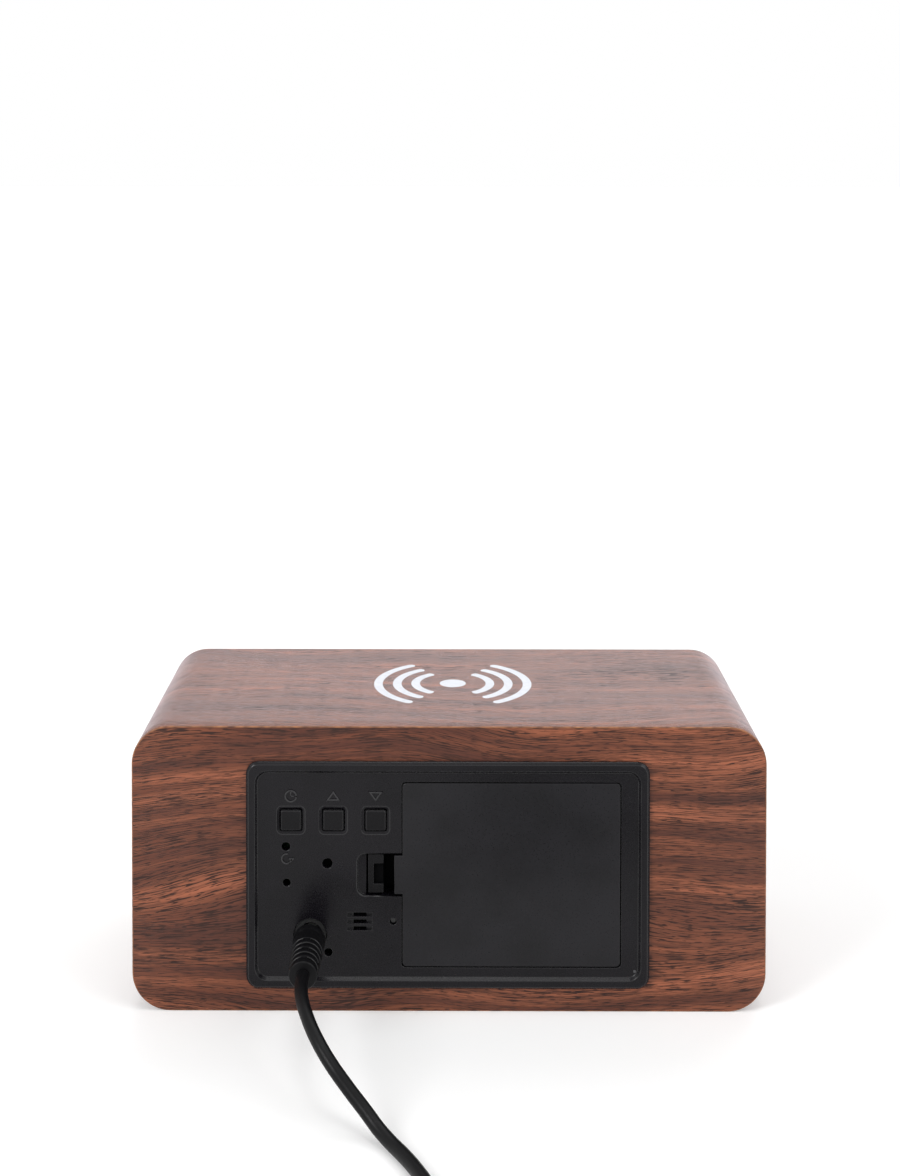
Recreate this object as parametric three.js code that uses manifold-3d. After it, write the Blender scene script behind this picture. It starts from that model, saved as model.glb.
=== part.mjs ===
// A wood-cased digital alarm clock with a charging top, seen from its black rear panel.
// Millimetres, +Z up. The display faces -Y and the rear panel faces +Y.
// The origin is under the middle of the clock, on the surface that it stands on.
import * as THREE from 'three';
import { mergeVertices } from 'three/addons/utils/BufferGeometryUtils.js';
import Module from 'manifold-3d';

const wasm = await Module();
wasm.setup();

// Case: a wrapped fibreboard sleeve between a front and a rear board
const caseWidth = 150;
const caseHeight = 68;
const caseDepth = 66.7;
const caseCornerRadius = 9.1;
const sleeveWall = 5;
const frontBoardThickness = 4.6;
const frontFilmThickness = 0.4;
const rearBoardThickness = 5;

// Clearances, overruns and the distance under which points are one
const fitGap = 0.3;
const seatGap = 0.05;
const cutOverrun = 2;
const samePoint = 0.0001;

// Rear panel: a moulded plate with a raised rim, a skirt and snap hooks
const panelWidth = 95.3;
const panelAboveBase = 5.75;
const panelBelowTop = 8.15;
const panelCentreX = 0.25;
const panelCornerRadius = 3;
const panelPlate = 2;
const rimProud = 1.2;
const rimWidth = 2.7;
const rimBevel = 0.6;
const fieldBelowRim = 0.8;
const flangeOverlap = 2.15;
const skirtWall = 1.5;
const hookWidth = 8;
const hookReach = 1.1;
const hookThickness = 1.6;
const hookSpacing = 52;
const standoffLength = 12;
const standoffRadius = 2.6;

// Battery bay, sized for four AAA cells that lie side by side along X
const bayOpeningLength = 51.9;
const bayRimMargin = 2.25;
const bayOpeningRadius = 1;
const bayEndX = 11.2;
const bayLedge = 1;
const bayWall = 2;
const bayDepth = 12;
const cellCount = 4;
const cellRibHeight = 2.4;
const cellRibWidth = 1.6;

// Battery door and its latch
const doorGap = 0.25;
const doorThickness = 1.8;
const doorTabReach = 1.5;
const doorTabWidth = 7;
const doorTabThickness = 1.1;
const doorTabInset = 8.1;
const doorLipCover = 1;
const doorRibHeight = 0.9;
const doorRibWidth = 1;
const doorRibSpacing = 24;
const latchRecessLength = 10.4;
const latchRecessHeight = 9.95;
const latchRecessDepth = 7.5;
const latchRecessRadius = 2;
const latchRampLength = 2.1;
const latchRampDepth = 1;
const latchRampStep = 0.6;
const latchSideGap = 0.4;
const doorLipLength = 1.7;
const doorLegDepth = 5.2;
const latchTongueStart = 4.3;
const latchTongueThickness = 1.5;
const latchTabLength = 3.6;
const latchTabThickness = 1.2;
const latchTabBelowField = 0.8;
const latchNotchLength = 2.3;
const latchNotchHeight = 4.9;
const latchNotchDepth = 0.9;
const latchFootThickness = 1;
const latchBarbReach = 0.1;
const latchBarbHeight = 1.4;

// Buttons and the switches behind them
const buttonSize = 5;
const buttonRadius = 0.5;
const buttonGap = 0.15;
const buttonProud = 0.3;
const buttonBevel = 0.3;
const buttonSurround = 0.7;
const buttonSurroundDepth = 0.25;
const buttonFlangeSize = 7.4;
const buttonFlangeThickness = 1;
const buttonStemRadius = 1.5;
const buttonPitch = 10;
const buttonFirstX = 17.3;
const buttonRowBelowRim = 14.05;
const buttonTravel = 0.6;
const switchSize = 6;
const switchHeight = 3.5;
const plungerRadius = 1.7;
const plungerProud = 1;
const resetX = 38.5;
const resetBelowButtons = 6.3;
const resetHoleRadius = 1.05;
const resetSwitchSize = 4.5;
const resetPlungerRadius = 0.9;
const resetTravel = 0.25;

// Small openings in the panel
const microphoneX = 28.7;
const microphoneShare = 0.633;
const microphoneHoleRadius = 1.25;
const microphoneRadius = 3;
const microphoneLength = 2.7;
const sideHoleX = 38.3;
const sideHoleBelowReset = 8.6;
const sideHoleRadius = 0.95;
const lowHoleX = 28.5;
const lowHoleBelowJack = 4.1;
const lowHoleRadius = 1;
const sensorX = 13.15;
const sensorHoleRadius = 0.83;
const sensorBeadRadius = 0.6;
const sensorBeadLength = 3;
const sensorBelowField = 0.8;
const slotCentreX = 21.05;
const slotsBelowLatch = 11.15;
const slotLength = 5.9;
const slotThroughLength = 3.05;
const slotHeight = 1;
const slotPitch = 1.65;
const slotCount = 3;
const slotRampDepth = 0.6;
const buzzerRadius = 4.6;
const buzzerLength = 5.5;
const leadWireRadius = 0.2;
const leadWireSpacing = 2.2;

// Control board behind the panel
const boardThickness = 1.6;
const boardMargin = 0.5;
const screwHeadRadius = 2;
const screwHeadHeight = 1.4;
const screwShankRadius = 1;
const screwShankLength = 6;
const screwPilotRadius = 1.2;
const screwRecessWidth = 0.8;
const screwRecessDepth = 0.7;

// Power jack and the plug in it
const jackX = 32.8;
const jackAboveRim = 12.65;
const jackNoseRadius = 3.8;
const jackNoseClearance = 0.2;
const jackBodySize = 9;
const jackBoreRadius = 2.95;
const jackBoreDepth = 8.2;
const jackPinRadius = 1;
const plugBarrelRadius = 2.7;
const plugBarrelBore = 1.3;
const plugStandOff = 2.25;
const plugBarrelLength = 9.4;
const gripLength = 18.6;
const gripShoulderRadius = 3.8;
const gripWaistRadius = 3.55;
const gripRibRadius = 3.65;
const gripEndRadius = 3.25;
const gripShoulderLength = 2;
const gripSmoothLength = 7.2;
const gripGrooveCount = 5;
const gripGrooveWidth = 0.85;
const gripGrooveDepth = 0.8;
const gripGroovePitch = 2.2;
const gripBridgeWidth = 1.7;

// Battery contacts
const contactThickness = 0.4;
const contactSpacing = 2.15;
const contactHeight = 8.6;
const contactDimpleRadius = 1.6;
const contactDimpleHeight = 0.9;
const springWireRadius = 0.3;
const springBaseRadius = 3.1;
const springTipRadius = 1.8;
const springCurls = 4;
const springPitch = 1.15;

// Display module behind the front film
const windowSideMargin = 17;
const windowHeight = 34;
const windowRadius = 2;
const windowGap = 0.3;
const reflectorFlange = 5.5;
const reflectorFlangeThickness = 2;
const digitHeight = 26;
const digitWidth = 14;
const digitPitch = 21;
const digitStroke = 2.6;
const segmentGap = 0.9;
const colonWidth = 9;
const colonSpacing = 9;
const colonRadius = 1.5;
const ledSize = 1.6;
const ledHeight = 0.9;
const displayBoardMargin = 1;

// Charging module under the top
const chargerX = -1;
const chargerSetForward = 3.1;
const trayEndGap = 1;
const coilWindingWidth = 10.5;
const coilThickness = 1.3;
const ferriteThickness = 1.5;
const trayFloor = 1.5;
const trayWall = 1.6;
const trayEarReach = 5;
const trayEarWidth = 7;
const chargerBoardOverhang = 4;
const chargerBoardWidth = 22;
const chargerBoardDrop = 6;
const chargerPostRadius = 2;
const chargerPostInset = 6.45;
const chargerPegRadius = 1.1;

// Inner cables
const ribbonThickness = 0.8;
const ribbonWidth = 12;
const innerCableRadius = 1.1;

// Power lead: plug grip, free stretch, wound coil, tie and the far plug
const cordRadius = 1.5;
const cordSides = 8;
const cordSteps = 36;
const coilMeanRadius = 18;
const coilTurnPitch = 3.6;
const coilLayerPitch = 3.6;
const coilTurnsPerLayer = 4;
const coilLayers = 2;
const coilClimbTurns = 0.5;
const coilCentreX = -25;
const coilCentreY = 141;
const coilStepsPerTurn = 24;
const coilSides = 6;
const tieWidth = 6;
const tieThickness = 0.6;
const coilTail = 12;
const usbGripLength = 22;
const usbGripWidth = 15;
const usbGripHeight = 7.6;
const usbGripRadius = 2.4;
const usbGripNeck = 6;
const usbShellLength = 12;
const usbShellWidth = 12;
const usbShellHeight = 4.5;
const usbShellWall = 0.4;
const usbShellHole = 2;
const usbTongueWidth = 10.6;
const usbTongueThickness = 1.7;

// How finely round shapes are drawn
const cornerSegments = 8;
const smallCornerSegments = 3;
const roundSegments = 20;
const smallRoundSegments = 12;
const springSteps = 8;
const springSides = 5;

// Levels along Y that the pieces share
const rimFace = (caseDepth + rimProud) / 2;
const woodRear = rimFace - rimProud;
const woodFront = woodRear - caseDepth;
const fieldFace = rimFace - fieldBelowRim;
const plateBack = fieldFace - panelPlate;
const rearBoardFront = woodRear - rearBoardThickness;
const filmBack = woodFront + frontFilmThickness;
const frontBoardBack = filmBack + frontBoardThickness;
const doorBack = fieldFace - doorThickness;
const ledgeFace = doorBack - fitGap;
const bayFloor = ledgeFace - bayDepth;
const boardFace = plateBack - standoffLength;
const boardBack = boardFace - boardThickness;

// Places in X and Z that the pieces share
const panelHeight = caseHeight - panelAboveBase - panelBelowTop;
const panelCentreZ = panelAboveBase + panelHeight / 2;
const bayOpeningHeight = panelHeight - 2 * (rimWidth + bayRimMargin);
const bayCentreZ = panelCentreZ;
const openingWidth = panelWidth - 2 * flangeOverlap;
const openingHeight = panelHeight - 2 * flangeOverlap;
const openingRadius = panelCornerRadius;
const bayStartX = bayEndX - bayOpeningLength;
const bayCentreX = bayEndX - bayOpeningLength / 2;
const bayInnerHeight = bayOpeningHeight - 2 * bayLedge;
const bayOuterEndX = bayEndX - bayLedge + bayWall;
const latchCentreZ = bayCentreZ;
const buttonRowZ = panelAboveBase + panelHeight - buttonRowBelowRim;
const resetZ = buttonRowZ - resetBelowButtons;
const sideHoleZ = resetZ - sideHoleBelowReset;
const jackZ = panelAboveBase + jackAboveRim;
const lowHoleZ = jackZ - lowHoleBelowJack;
const slotCentreZ = latchCentreZ - slotsBelowLatch;
const sensorZ = slotCentreZ;
const aboveJack = jackZ + jackBodySize / 2;
const microphoneZ = aboveJack + microphoneShare * (buttonRowZ - switchSize / 2 - aboveJack);
const windowWidth = caseWidth - 2 * windowSideMargin;
const windowCentreZ = caseHeight / 2;
const ceiling = caseHeight - sleeveWall;

// Colours of the real finishes
const walnutFoil = new THREE.MeshStandardMaterial({ color: 0x6f4636, roughness: 0.5, metalness: 0 });
const fibreboard = new THREE.MeshStandardMaterial({ color: 0x9a7a58, roughness: 0.9, metalness: 0 });
const blackAbs = new THREE.MeshStandardMaterial({ color: 0x2c2c2e, roughness: 0.55, metalness: 0 });
const capAbs = new THREE.MeshStandardMaterial({ color: 0x222224, roughness: 0.5, metalness: 0 });
const cordVinyl = new THREE.MeshStandardMaterial({ color: 0x1c1c1e, roughness: 0.6, metalness: 0 });
const whiteAbs = new THREE.MeshStandardMaterial({ color: 0xe8e8e4, roughness: 0.6, metalness: 0 });
const circuitLaminate = new THREE.MeshStandardMaterial({ color: 0x1f5a34, roughness: 0.5, metalness: 0 });
const nickelPlate = new THREE.MeshStandardMaterial({ color: 0xb9bcc0, roughness: 0.3, metalness: 1 });
const zincScrew = new THREE.MeshStandardMaterial({ color: 0x9fa3a8, roughness: 0.4, metalness: 1 });
const copperWire = new THREE.MeshStandardMaterial({ color: 0xb06a3a, roughness: 0.4, metalness: 1 });
const ferrite = new THREE.MeshStandardMaterial({ color: 0x3a3a3c, roughness: 0.8, metalness: 0 });
const greyCable = new THREE.MeshStandardMaterial({ color: 0x8c9094, roughness: 0.6, metalness: 0 });

const clock = new THREE.Group();
clock.name = 'digital_alarm_clock';

// Geometry helpers: closed meshes in, closed meshes out
function positionsOnly(geometry) {
  const bare = geometry.clone();
  for (const name of Object.keys(bare.attributes)) {
    if (name !== 'position') bare.deleteAttribute(name);
  }
  return mergeVertices(bare, samePoint);
}

function solid(geometry) {
  const merged = positionsOnly(geometry);
  const vertProperties = new Float32Array(merged.attributes.position.array);
  const triVerts = new Uint32Array(merged.index.array);
  const shape = new wasm.Manifold(new wasm.Mesh({ numProp: 3, vertProperties, triVerts }));
  if (shape.volume() > 0) return shape;
  for (let i = 0; i < triVerts.length; i += 3) {
    [triVerts[i], triVerts[i + 1]] = [triVerts[i + 1], triVerts[i]];
  }
  return new wasm.Manifold(new wasm.Mesh({ numProp: 3, vertProperties, triVerts }));
}

function geometryOf(shape) {
  const mesh = shape.getMesh();
  const geometry = new THREE.BufferGeometry();
  geometry.setAttribute('position', new THREE.BufferAttribute(new Float32Array(mesh.vertProperties), 3));
  geometry.setIndex(new THREE.BufferAttribute(new Uint32Array(mesh.triVerts), 1));
  geometry.computeVertexNormals();
  return geometry;
}

function piece(name, shape, material) {
  const mesh = new THREE.Mesh(geometryOf(shape), material);
  mesh.name = name;
  clock.add(mesh);
  return mesh;
}

function join(...shapes) {
  return shapes.reduce((whole, next) => whole.add(next));
}

function cut(whole, ...tools) {
  return tools.reduce((rest, tool) => rest.subtract(tool), whole);
}

function box(x0, x1, y0, y1, z0, z1) {
  const geometry = new THREE.BoxGeometry(x1 - x0, y1 - y0, z1 - z0);
  geometry.translate((x0 + x1) / 2, (y0 + y1) / 2, (z0 + z1) / 2);
  return solid(geometry);
}

function roundedOutline(width, height, radius, centreX, centreZ, segments = smallCornerSegments) {
  const shape = new THREE.Shape();
  const x = width / 2 - radius;
  const z = height / 2 - radius;
  shape.absarc(centreX + x, centreZ - z, radius, -Math.PI / 2, 0);
  shape.absarc(centreX + x, centreZ + z, radius, 0, Math.PI / 2);
  shape.absarc(centreX - x, centreZ + z, radius, Math.PI / 2, Math.PI);
  shape.absarc(centreX - x, centreZ - z, radius, Math.PI, 3 * Math.PI / 2);
  return shape.extractPoints(segments).shape;
}

// A solid through outlines in the XZ plane, each at its own Y
function loftAlongY(sections) {
  const count = sections[0].outline.length;
  const corners = [];
  for (const { outline, y } of sections) {
    for (const point of outline) corners.push(point.x, y, point.y);
  }
  const faces = [];
  for (let s = 0; s + 1 < sections.length; s += 1) {
    for (let i = 0; i < count; i += 1) {
      const a = s * count + i;
      const b = s * count + (i + 1) % count;
      faces.push(a, b, b + count, a, b + count, a + count);
    }
  }
  const last = (sections.length - 1) * count;
  for (const [a, b, c] of THREE.ShapeUtils.triangulateShape(sections[0].outline, [])) {
    faces.push(c, b, a, last + a, last + b, last + c);
  }
  const geometry = new THREE.BufferGeometry();
  geometry.setAttribute('position', new THREE.Float32BufferAttribute(corners, 3));
  geometry.setIndex(faces);
  return solid(geometry);
}

function prismAlongY(outline, y0, y1) {
  return loftAlongY([{ outline, y: y0 }, { outline, y: y1 }]);
}

function rodAlongY(radius, x, z, y0, y1, segments = smallRoundSegments) {
  const geometry = new THREE.CylinderGeometry(radius, radius, y1 - y0, segments);
  geometry.translate(x, (y0 + y1) / 2, z);
  return solid(geometry);
}

function rodAlongZ(radius, x, y, z0, z1, segments = smallRoundSegments) {
  const geometry = new THREE.CylinderGeometry(radius, radius, z1 - z0, segments);
  geometry.rotateX(Math.PI / 2);
  geometry.translate(x, y, (z0 + z1) / 2);
  return solid(geometry);
}

// A closed profile of [radius, distance] pairs turned about the Y axis at x, z
function turnedAboutY(profile, x, z, segments = roundSegments) {
  const points = profile.map(([radius, y]) => new THREE.Vector2(radius, y));
  const geometry = new THREE.LatheGeometry(points, segments);
  geometry.translate(x, 0, z);
  return solid(geometry);
}

// A profile in the XY plane given as [x, y] pairs, extruded along Z
function prismAlongZ(profile, z0, z1) {
  const shape = new THREE.Shape(profile.map(([x, y]) => new THREE.Vector2(x, y)));
  const geometry = new THREE.ExtrudeGeometry(shape, { depth: z1 - z0, bevelEnabled: false });
  geometry.translate(0, 0, z0);
  return solid(geometry);
}

// An unbroken tube through the points; its section starts with a corner towards facing and doesn't twist
function sweptTube(points, radius, sides, facing) {
  const corners = [];
  const faces = [];
  let side = facing.clone();
  points.forEach((point, i) => {
    const before = points[Math.max(i - 1, 0)];
    const after = points[Math.min(i + 1, points.length - 1)];
    const along = after.clone().sub(before).normalize();
    side = side.clone().addScaledVector(along, -side.dot(along)).normalize();
    const up = side.clone().cross(along);
    for (let k = 0; k < sides; k += 1) {
      const angle = 2 * Math.PI * k / sides;
      const corner = point.clone();
      corner.addScaledVector(side, radius * Math.cos(angle));
      corner.addScaledVector(up, radius * Math.sin(angle));
      corners.push(corner.x, corner.y, corner.z);
    }
  });
  for (let i = 0; i + 1 < points.length; i += 1) {
    for (let k = 0; k < sides; k += 1) {
      const a = i * sides + k;
      const b = i * sides + (k + 1) % sides;
      faces.push(a, b, b + sides, a, b + sides, a + sides);
    }
  }
  const last = (points.length - 1) * sides;
  for (let k = 1; k + 1 < sides; k += 1) faces.push(0, k + 1, k, last, last + k, last + k + 1);
  const geometry = new THREE.BufferGeometry();
  geometry.setAttribute('position', new THREE.Float32BufferAttribute(corners, 3));
  geometry.setIndex(faces);
  return solid(geometry);
}

// Prints how close a wound tube comes to itself, measured between its centreline points
function report(name, points, radius, pointsPerTurn) {
  let least = Infinity;
  points.forEach((point, i) => {
    for (let j = i + Math.floor(pointsPerTurn / 2); j < points.length; j += 1) {
      least = Math.min(least, point.distanceTo(points[j]));
    }
  });
  console.log(`${name}: least gap to itself ${(least - 2 * radius).toFixed(2)} mm`);
}

// Case: sleeve, front board with the display window, wood film over it, rear board
const outerOutline = roundedOutline(
  caseWidth, caseHeight, caseCornerRadius, 0, caseHeight / 2, cornerSegments);
const innerOutline = roundedOutline(
  caseWidth - 2 * sleeveWall, caseHeight - 2 * sleeveWall,
  caseCornerRadius - sleeveWall, 0, caseHeight / 2, cornerSegments);
const windowOutline = roundedOutline(windowWidth, windowHeight, windowRadius, 0, windowCentreZ);
const panelOpening = roundedOutline(openingWidth, openingHeight, openingRadius, panelCentreX, panelCentreZ);

function buildCase() {
  let sleeve = cut(
    prismAlongY(outerOutline, frontBoardBack, rearBoardFront),
    prismAlongY(innerOutline, frontBoardBack - cutOverrun, rearBoardFront + cutOverrun));
  for (const [x, y] of trayScrewPlaces) {
    const tip = ceiling - 2 * trayFloor + screwShankLength + fitGap;
    sleeve = cut(sleeve, rodAlongZ(screwPilotRadius, x, y, ceiling - cutOverrun, tip));
  }
  piece('case_sleeve', sleeve, walnutFoil);
  let front = cut(
    prismAlongY(outerOutline, filmBack, frontBoardBack),
    prismAlongY(windowOutline, filmBack - cutOverrun, frontBoardBack + cutOverrun));
  for (const [x, z] of moduleScrewPlaces) {
    const tip = displayBoardBack - screwShankLength - fitGap;
    front = cut(front, rodAlongY(screwPilotRadius, x, z, tip, frontBoardBack + cutOverrun));
  }
  piece('front_board', front, fibreboard);
  piece('front_film', prismAlongY(outerOutline, woodFront, filmBack), walnutFoil);
  const rear = cut(
    prismAlongY(outerOutline, rearBoardFront, woodRear),
    prismAlongY(panelOpening, rearBoardFront - cutOverrun, woodRear + cutOverrun));
  piece('rear_board', rear, walnutFoil);
}

// Places of the three buttons, left to right on the photographed side
const buttonNames = ['down', 'up', 'set'];
const buttonPlaces = buttonNames.map((name, i) => ({ name, x: buttonFirstX + i * buttonPitch, z: buttonRowZ }));

// The battery bay's outline and the spacing of the tabs, used by the panel and by the door
const doorTabSpacing = bayOpeningHeight - 2 * doorTabInset;
const bayOpening = roundedOutline(
  bayOpeningLength, bayOpeningHeight, bayOpeningRadius, bayCentreX, bayCentreZ);

// The recess for the latch: square to the bay, with a shallow sloped shelf at its round far end
function latchRecess() {
  const end = bayEndX + latchRecessLength;
  const floor = fieldFace - latchRecessDepth;
  const top = fieldFace + cutOverrun;
  const outline = roundedOutline(
    2 * latchRecessLength, latchRecessHeight, latchRecessRadius, bayEndX, latchCentreZ);
  const profile = [
    [bayEndX, floor], [end - latchRampLength, floor], [end - latchRampLength, fieldFace - latchRampDepth],
    [end, fieldFace - latchRampStep], [end, top], [bayEndX, top],
  ];
  const low = latchCentreZ - latchRecessHeight;
  return prismAlongY(outline, floor, top).intersect(prismAlongZ(profile, low, low + 2 * latchRecessHeight));
}

// A snap hook: a beam off the plate whose barb catches behind the rear board
function snapHook(x, side) {
  const edge = panelCentreZ + side * (openingHeight / 2 - fitGap);
  const catchFace = rearBoardFront - fitGap;
  const sections = [
    { y: catchFace - hookThickness, reach: 0 },
    { y: catchFace, reach: hookReach },
  ].map(({ y, reach }) => {
    const low = Math.min(edge - side * hookThickness, edge + side * reach);
    const high = Math.max(edge - side * hookThickness, edge + side * reach);
    const corners = [[x - hookWidth / 2, low], [x + hookWidth / 2, low], [x + hookWidth / 2, high],
      [x - hookWidth / 2, high]];
    return { outline: corners.map(([u, v]) => new THREE.Vector2(u, v)), y };
  });
  const beam = box(
    x - hookWidth / 2, x + hookWidth / 2, catchFace - hookThickness, plateBack,
    Math.min(edge - side * hookThickness, edge), Math.max(edge - side * hookThickness, edge));
  return join(beam, loftAlongY(sections));
}

// Screw standoffs of the control board, worked out from the board's own edges
const boardStartX = bayOuterEndX + boardMargin;
const boardEndX = panelCentreX + openingWidth / 2 - fitGap - skirtWall - boardMargin;
const boardLowZ = panelCentreZ - openingHeight / 2 + fitGap + skirtWall + boardMargin;
const boardHighZ = panelCentreZ + openingHeight / 2 - fitGap - skirtWall - boardMargin;
const boardScrewPlaces = [
  [boardEndX - standoffRadius - boardMargin, boardHighZ - standoffRadius - boardMargin],
  [boardStartX + standoffRadius + boardMargin, boardHighZ - standoffRadius - boardMargin],
  [boardEndX - standoffRadius - boardMargin, boardLowZ + standoffRadius + boardMargin],
];

// The moulded rear panel
function buildPanel() {
  const inner = panelWidth - 2 * rimWidth;
  const innerHeight = panelHeight - 2 * rimWidth;
  const at = (width, height, radius) => roundedOutline(
    width, height, radius, panelCentreX, panelCentreZ);
  const flange = loftAlongY([
    { outline: at(panelWidth, panelHeight, panelCornerRadius), y: woodRear },
    { outline: at(panelWidth, panelHeight, panelCornerRadius), y: rimFace - rimBevel },
    { outline: at(panelWidth - 2 * rimBevel, panelHeight - 2 * rimBevel, panelCornerRadius - rimBevel), y: rimFace },
  ]);
  const field = loftAlongY([
    { outline: at(inner, innerHeight, panelCornerRadius - rimBevel), y: fieldFace },
    { outline: at(inner + 2 * rimBevel, innerHeight + 2 * rimBevel, panelCornerRadius), y: rimFace },
    { outline: at(inner + 2 * rimBevel, innerHeight + 2 * rimBevel, panelCornerRadius), y: rimFace + cutOverrun },
  ]);
  const skirtOutline = at(openingWidth - 2 * fitGap, openingHeight - 2 * fitGap, openingRadius - fitGap);
  const skirtInner = at(
    openingWidth - 2 * fitGap - 2 * skirtWall, openingHeight - 2 * fitGap - 2 * skirtWall,
    openingRadius - fitGap - skirtWall);
  const shell = cut(
    join(flange, prismAlongY(skirtOutline, rearBoardFront, woodRear)),
    prismAlongY(skirtInner, rearBoardFront - cutOverrun, plateBack),
    field);

  const bayOuter = box(
    bayStartX + bayLedge - bayWall, bayOuterEndX, bayFloor - bayWall, plateBack,
    bayCentreZ - bayInnerHeight / 2 - bayWall, bayCentreZ + bayInnerHeight / 2 + bayWall);
  const recessEnd = bayEndX + latchRecessLength;
  const recessFloor = fieldFace - latchRecessDepth;
  const recessBlock = box(
    bayEndX, recessEnd + skirtWall, recessFloor - skirtWall, plateBack,
    latchCentreZ - latchRecessHeight / 2 - skirtWall, latchCentreZ + latchRecessHeight / 2 + skirtWall);
  const posts = boardScrewPlaces.map(([x, z]) => rodAlongY(standoffRadius, x, z, boardFace, plateBack));
  const hooks = [-1, 1].flatMap((side) => [-1, 1].map(
    (end) => snapHook(panelCentreX + end * hookSpacing / 2, side)));
  const buzzerRing = cut(
    rodAlongY(buzzerRadius + fitGap + skirtWall / 2, slotCentreX, slotCentreZ,
      plateBack - buzzerLength / 2, plateBack, roundSegments),
    rodAlongY(buzzerRadius + fitGap, slotCentreX, slotCentreZ,
      plateBack - buzzerLength, plateBack, roundSegments));
  let panel = join(shell, bayOuter, recessBlock, ...posts, ...hooks, buzzerRing);

  const bayInner = box(
    bayStartX + bayLedge, bayEndX - bayLedge, bayFloor, fieldFace + cutOverrun,
    bayCentreZ - bayInnerHeight / 2, bayCentreZ + bayInnerHeight / 2);
  const rebate = prismAlongY(bayOpening, ledgeFace, fieldFace + cutOverrun);
  panel = cut(panel, bayInner, rebate, latchRecess());

  // Slots under the lip for the door's two tabs, deep enough for them to turn out
  const tabSlotDepth = doorTabThickness + doorTabReach;
  for (const side of [-1, 1]) {
    const z = bayCentreZ + side * doorTabSpacing / 2;
    panel = cut(panel, box(
      bayStartX - doorTabReach - fitGap, bayStartX + bayLedge + cutOverrun,
      ledgeFace - tabSlotDepth, fieldFace - doorLipCover,
      z - doorTabWidth / 2 - fitGap, z + doorTabWidth / 2 + fitGap));
  }

  // Ribs on the bay floor that keep the cells apart
  const cellPitch = bayInnerHeight / cellCount;
  for (let i = 1; i < cellCount; i += 1) {
    const z = bayCentreZ - bayInnerHeight / 2 + i * cellPitch;
    panel = join(panel, box(
      bayStartX + bayLedge + cellPitch, bayEndX - bayLedge - cellPitch,
      bayFloor - bayWall / 2, bayFloor + cellRibHeight,
      z - cellRibWidth / 2, z + cellRibWidth / 2));
  }

  // Button openings with a chamfered surround
  const hole = buttonSize + 2 * buttonGap;
  const surround = hole + 2 * buttonSurround;
  for (const { x, z } of buttonPlaces) {
    const opening = roundedOutline(hole, hole, buttonRadius, x, z);
    panel = cut(panel,
      prismAlongY(opening, plateBack - cutOverrun, fieldFace + cutOverrun),
      loftAlongY([
        { outline: opening, y: fieldFace - buttonSurroundDepth },
        { outline: roundedOutline(surround, surround, buttonRadius + buttonSurround, x, z), y: fieldFace },
        { outline: roundedOutline(surround, surround, buttonRadius + buttonSurround, x, z),
          y: fieldFace + cutOverrun },
      ]));
  }

  // Pin holes, the sensor hole and the jack hole
  const holes = [
    [resetHoleRadius, resetX, resetZ], [microphoneHoleRadius, microphoneX, microphoneZ],
    [sideHoleRadius, sideHoleX, sideHoleZ], [lowHoleRadius, lowHoleX, lowHoleZ],
    [sensorHoleRadius, sensorX, sensorZ], [jackNoseRadius + jackNoseClearance, jackX, jackZ],
  ];
  for (const [radius, x, z] of holes) {
    panel = cut(panel, rodAlongY(radius, x, z, plateBack - cutOverrun, fieldFace + cutOverrun));
  }
  for (const [x, z] of boardScrewPlaces) {
    panel = cut(panel, rodAlongY(
      screwPilotRadius, x, z, boardFace - cutOverrun, boardBack + screwShankLength + fitGap));
  }

  // Sounder slots: open in the middle, shallow at both ends
  for (let i = 0; i < slotCount; i += 1) {
    const z = slotCentreZ + (i - (slotCount - 1) / 2) * slotPitch;
    const low = z - slotHeight / 2;
    const high = z + slotHeight / 2;
    panel = cut(panel,
      box(slotCentreX - slotThroughLength / 2, slotCentreX + slotThroughLength / 2,
        plateBack - cutOverrun, fieldFace + cutOverrun, low, high),
      box(slotCentreX - slotLength / 2, slotCentreX + slotLength / 2,
        fieldFace - slotRampDepth, fieldFace + cutOverrun, low, high));
  }
  piece('rear_panel', panel, blackAbs);
}

// The battery door turns about the outer corner of its tabbed edge
function buildDoor() {
  const length = bayOpeningLength - 2 * doorGap;
  const height = bayOpeningHeight - 2 * doorGap;
  const startX = bayStartX + doorGap;
  const endX = bayEndX - doorGap;
  const outline = roundedOutline(length, height, bayOpeningRadius, bayCentreX, bayCentreZ);
  let door = prismAlongY(outline, doorBack, fieldFace);
  const lipHalf = latchRecessHeight / 2 - latchSideGap;
  door = join(door,
    box(endX - doorLipLength, bayEndX + doorLipLength, doorBack, fieldFace,
      latchCentreZ - lipHalf, latchCentreZ + lipHalf),
    box(bayEndX + fitGap, bayEndX + doorLipLength, fieldFace - doorLegDepth, doorBack,
      latchCentreZ - lipHalf, latchCentreZ + lipHalf));
  for (const side of [-1, 1]) {
    const z = bayCentreZ + side * doorTabSpacing / 2;
    const top = fieldFace - doorLipCover - fitGap;
    door = join(door, box(
      startX - doorTabReach + doorGap, startX + bayLedge + doorTabReach, top - doorTabThickness, top,
      z - doorTabWidth / 2, z + doorTabWidth / 2));
    const rib = bayCentreX + side * doorRibSpacing / 2;
    door = join(door, box(
      rib - doorRibWidth / 2, rib + doorRibWidth / 2, doorBack - doorRibHeight, doorBack,
      bayCentreZ - bayInnerHeight / 2 + bayWall, bayCentreZ + bayInnerHeight / 2 - bayWall));
  }
  piece('battery_door', door, blackAbs);
}

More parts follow.
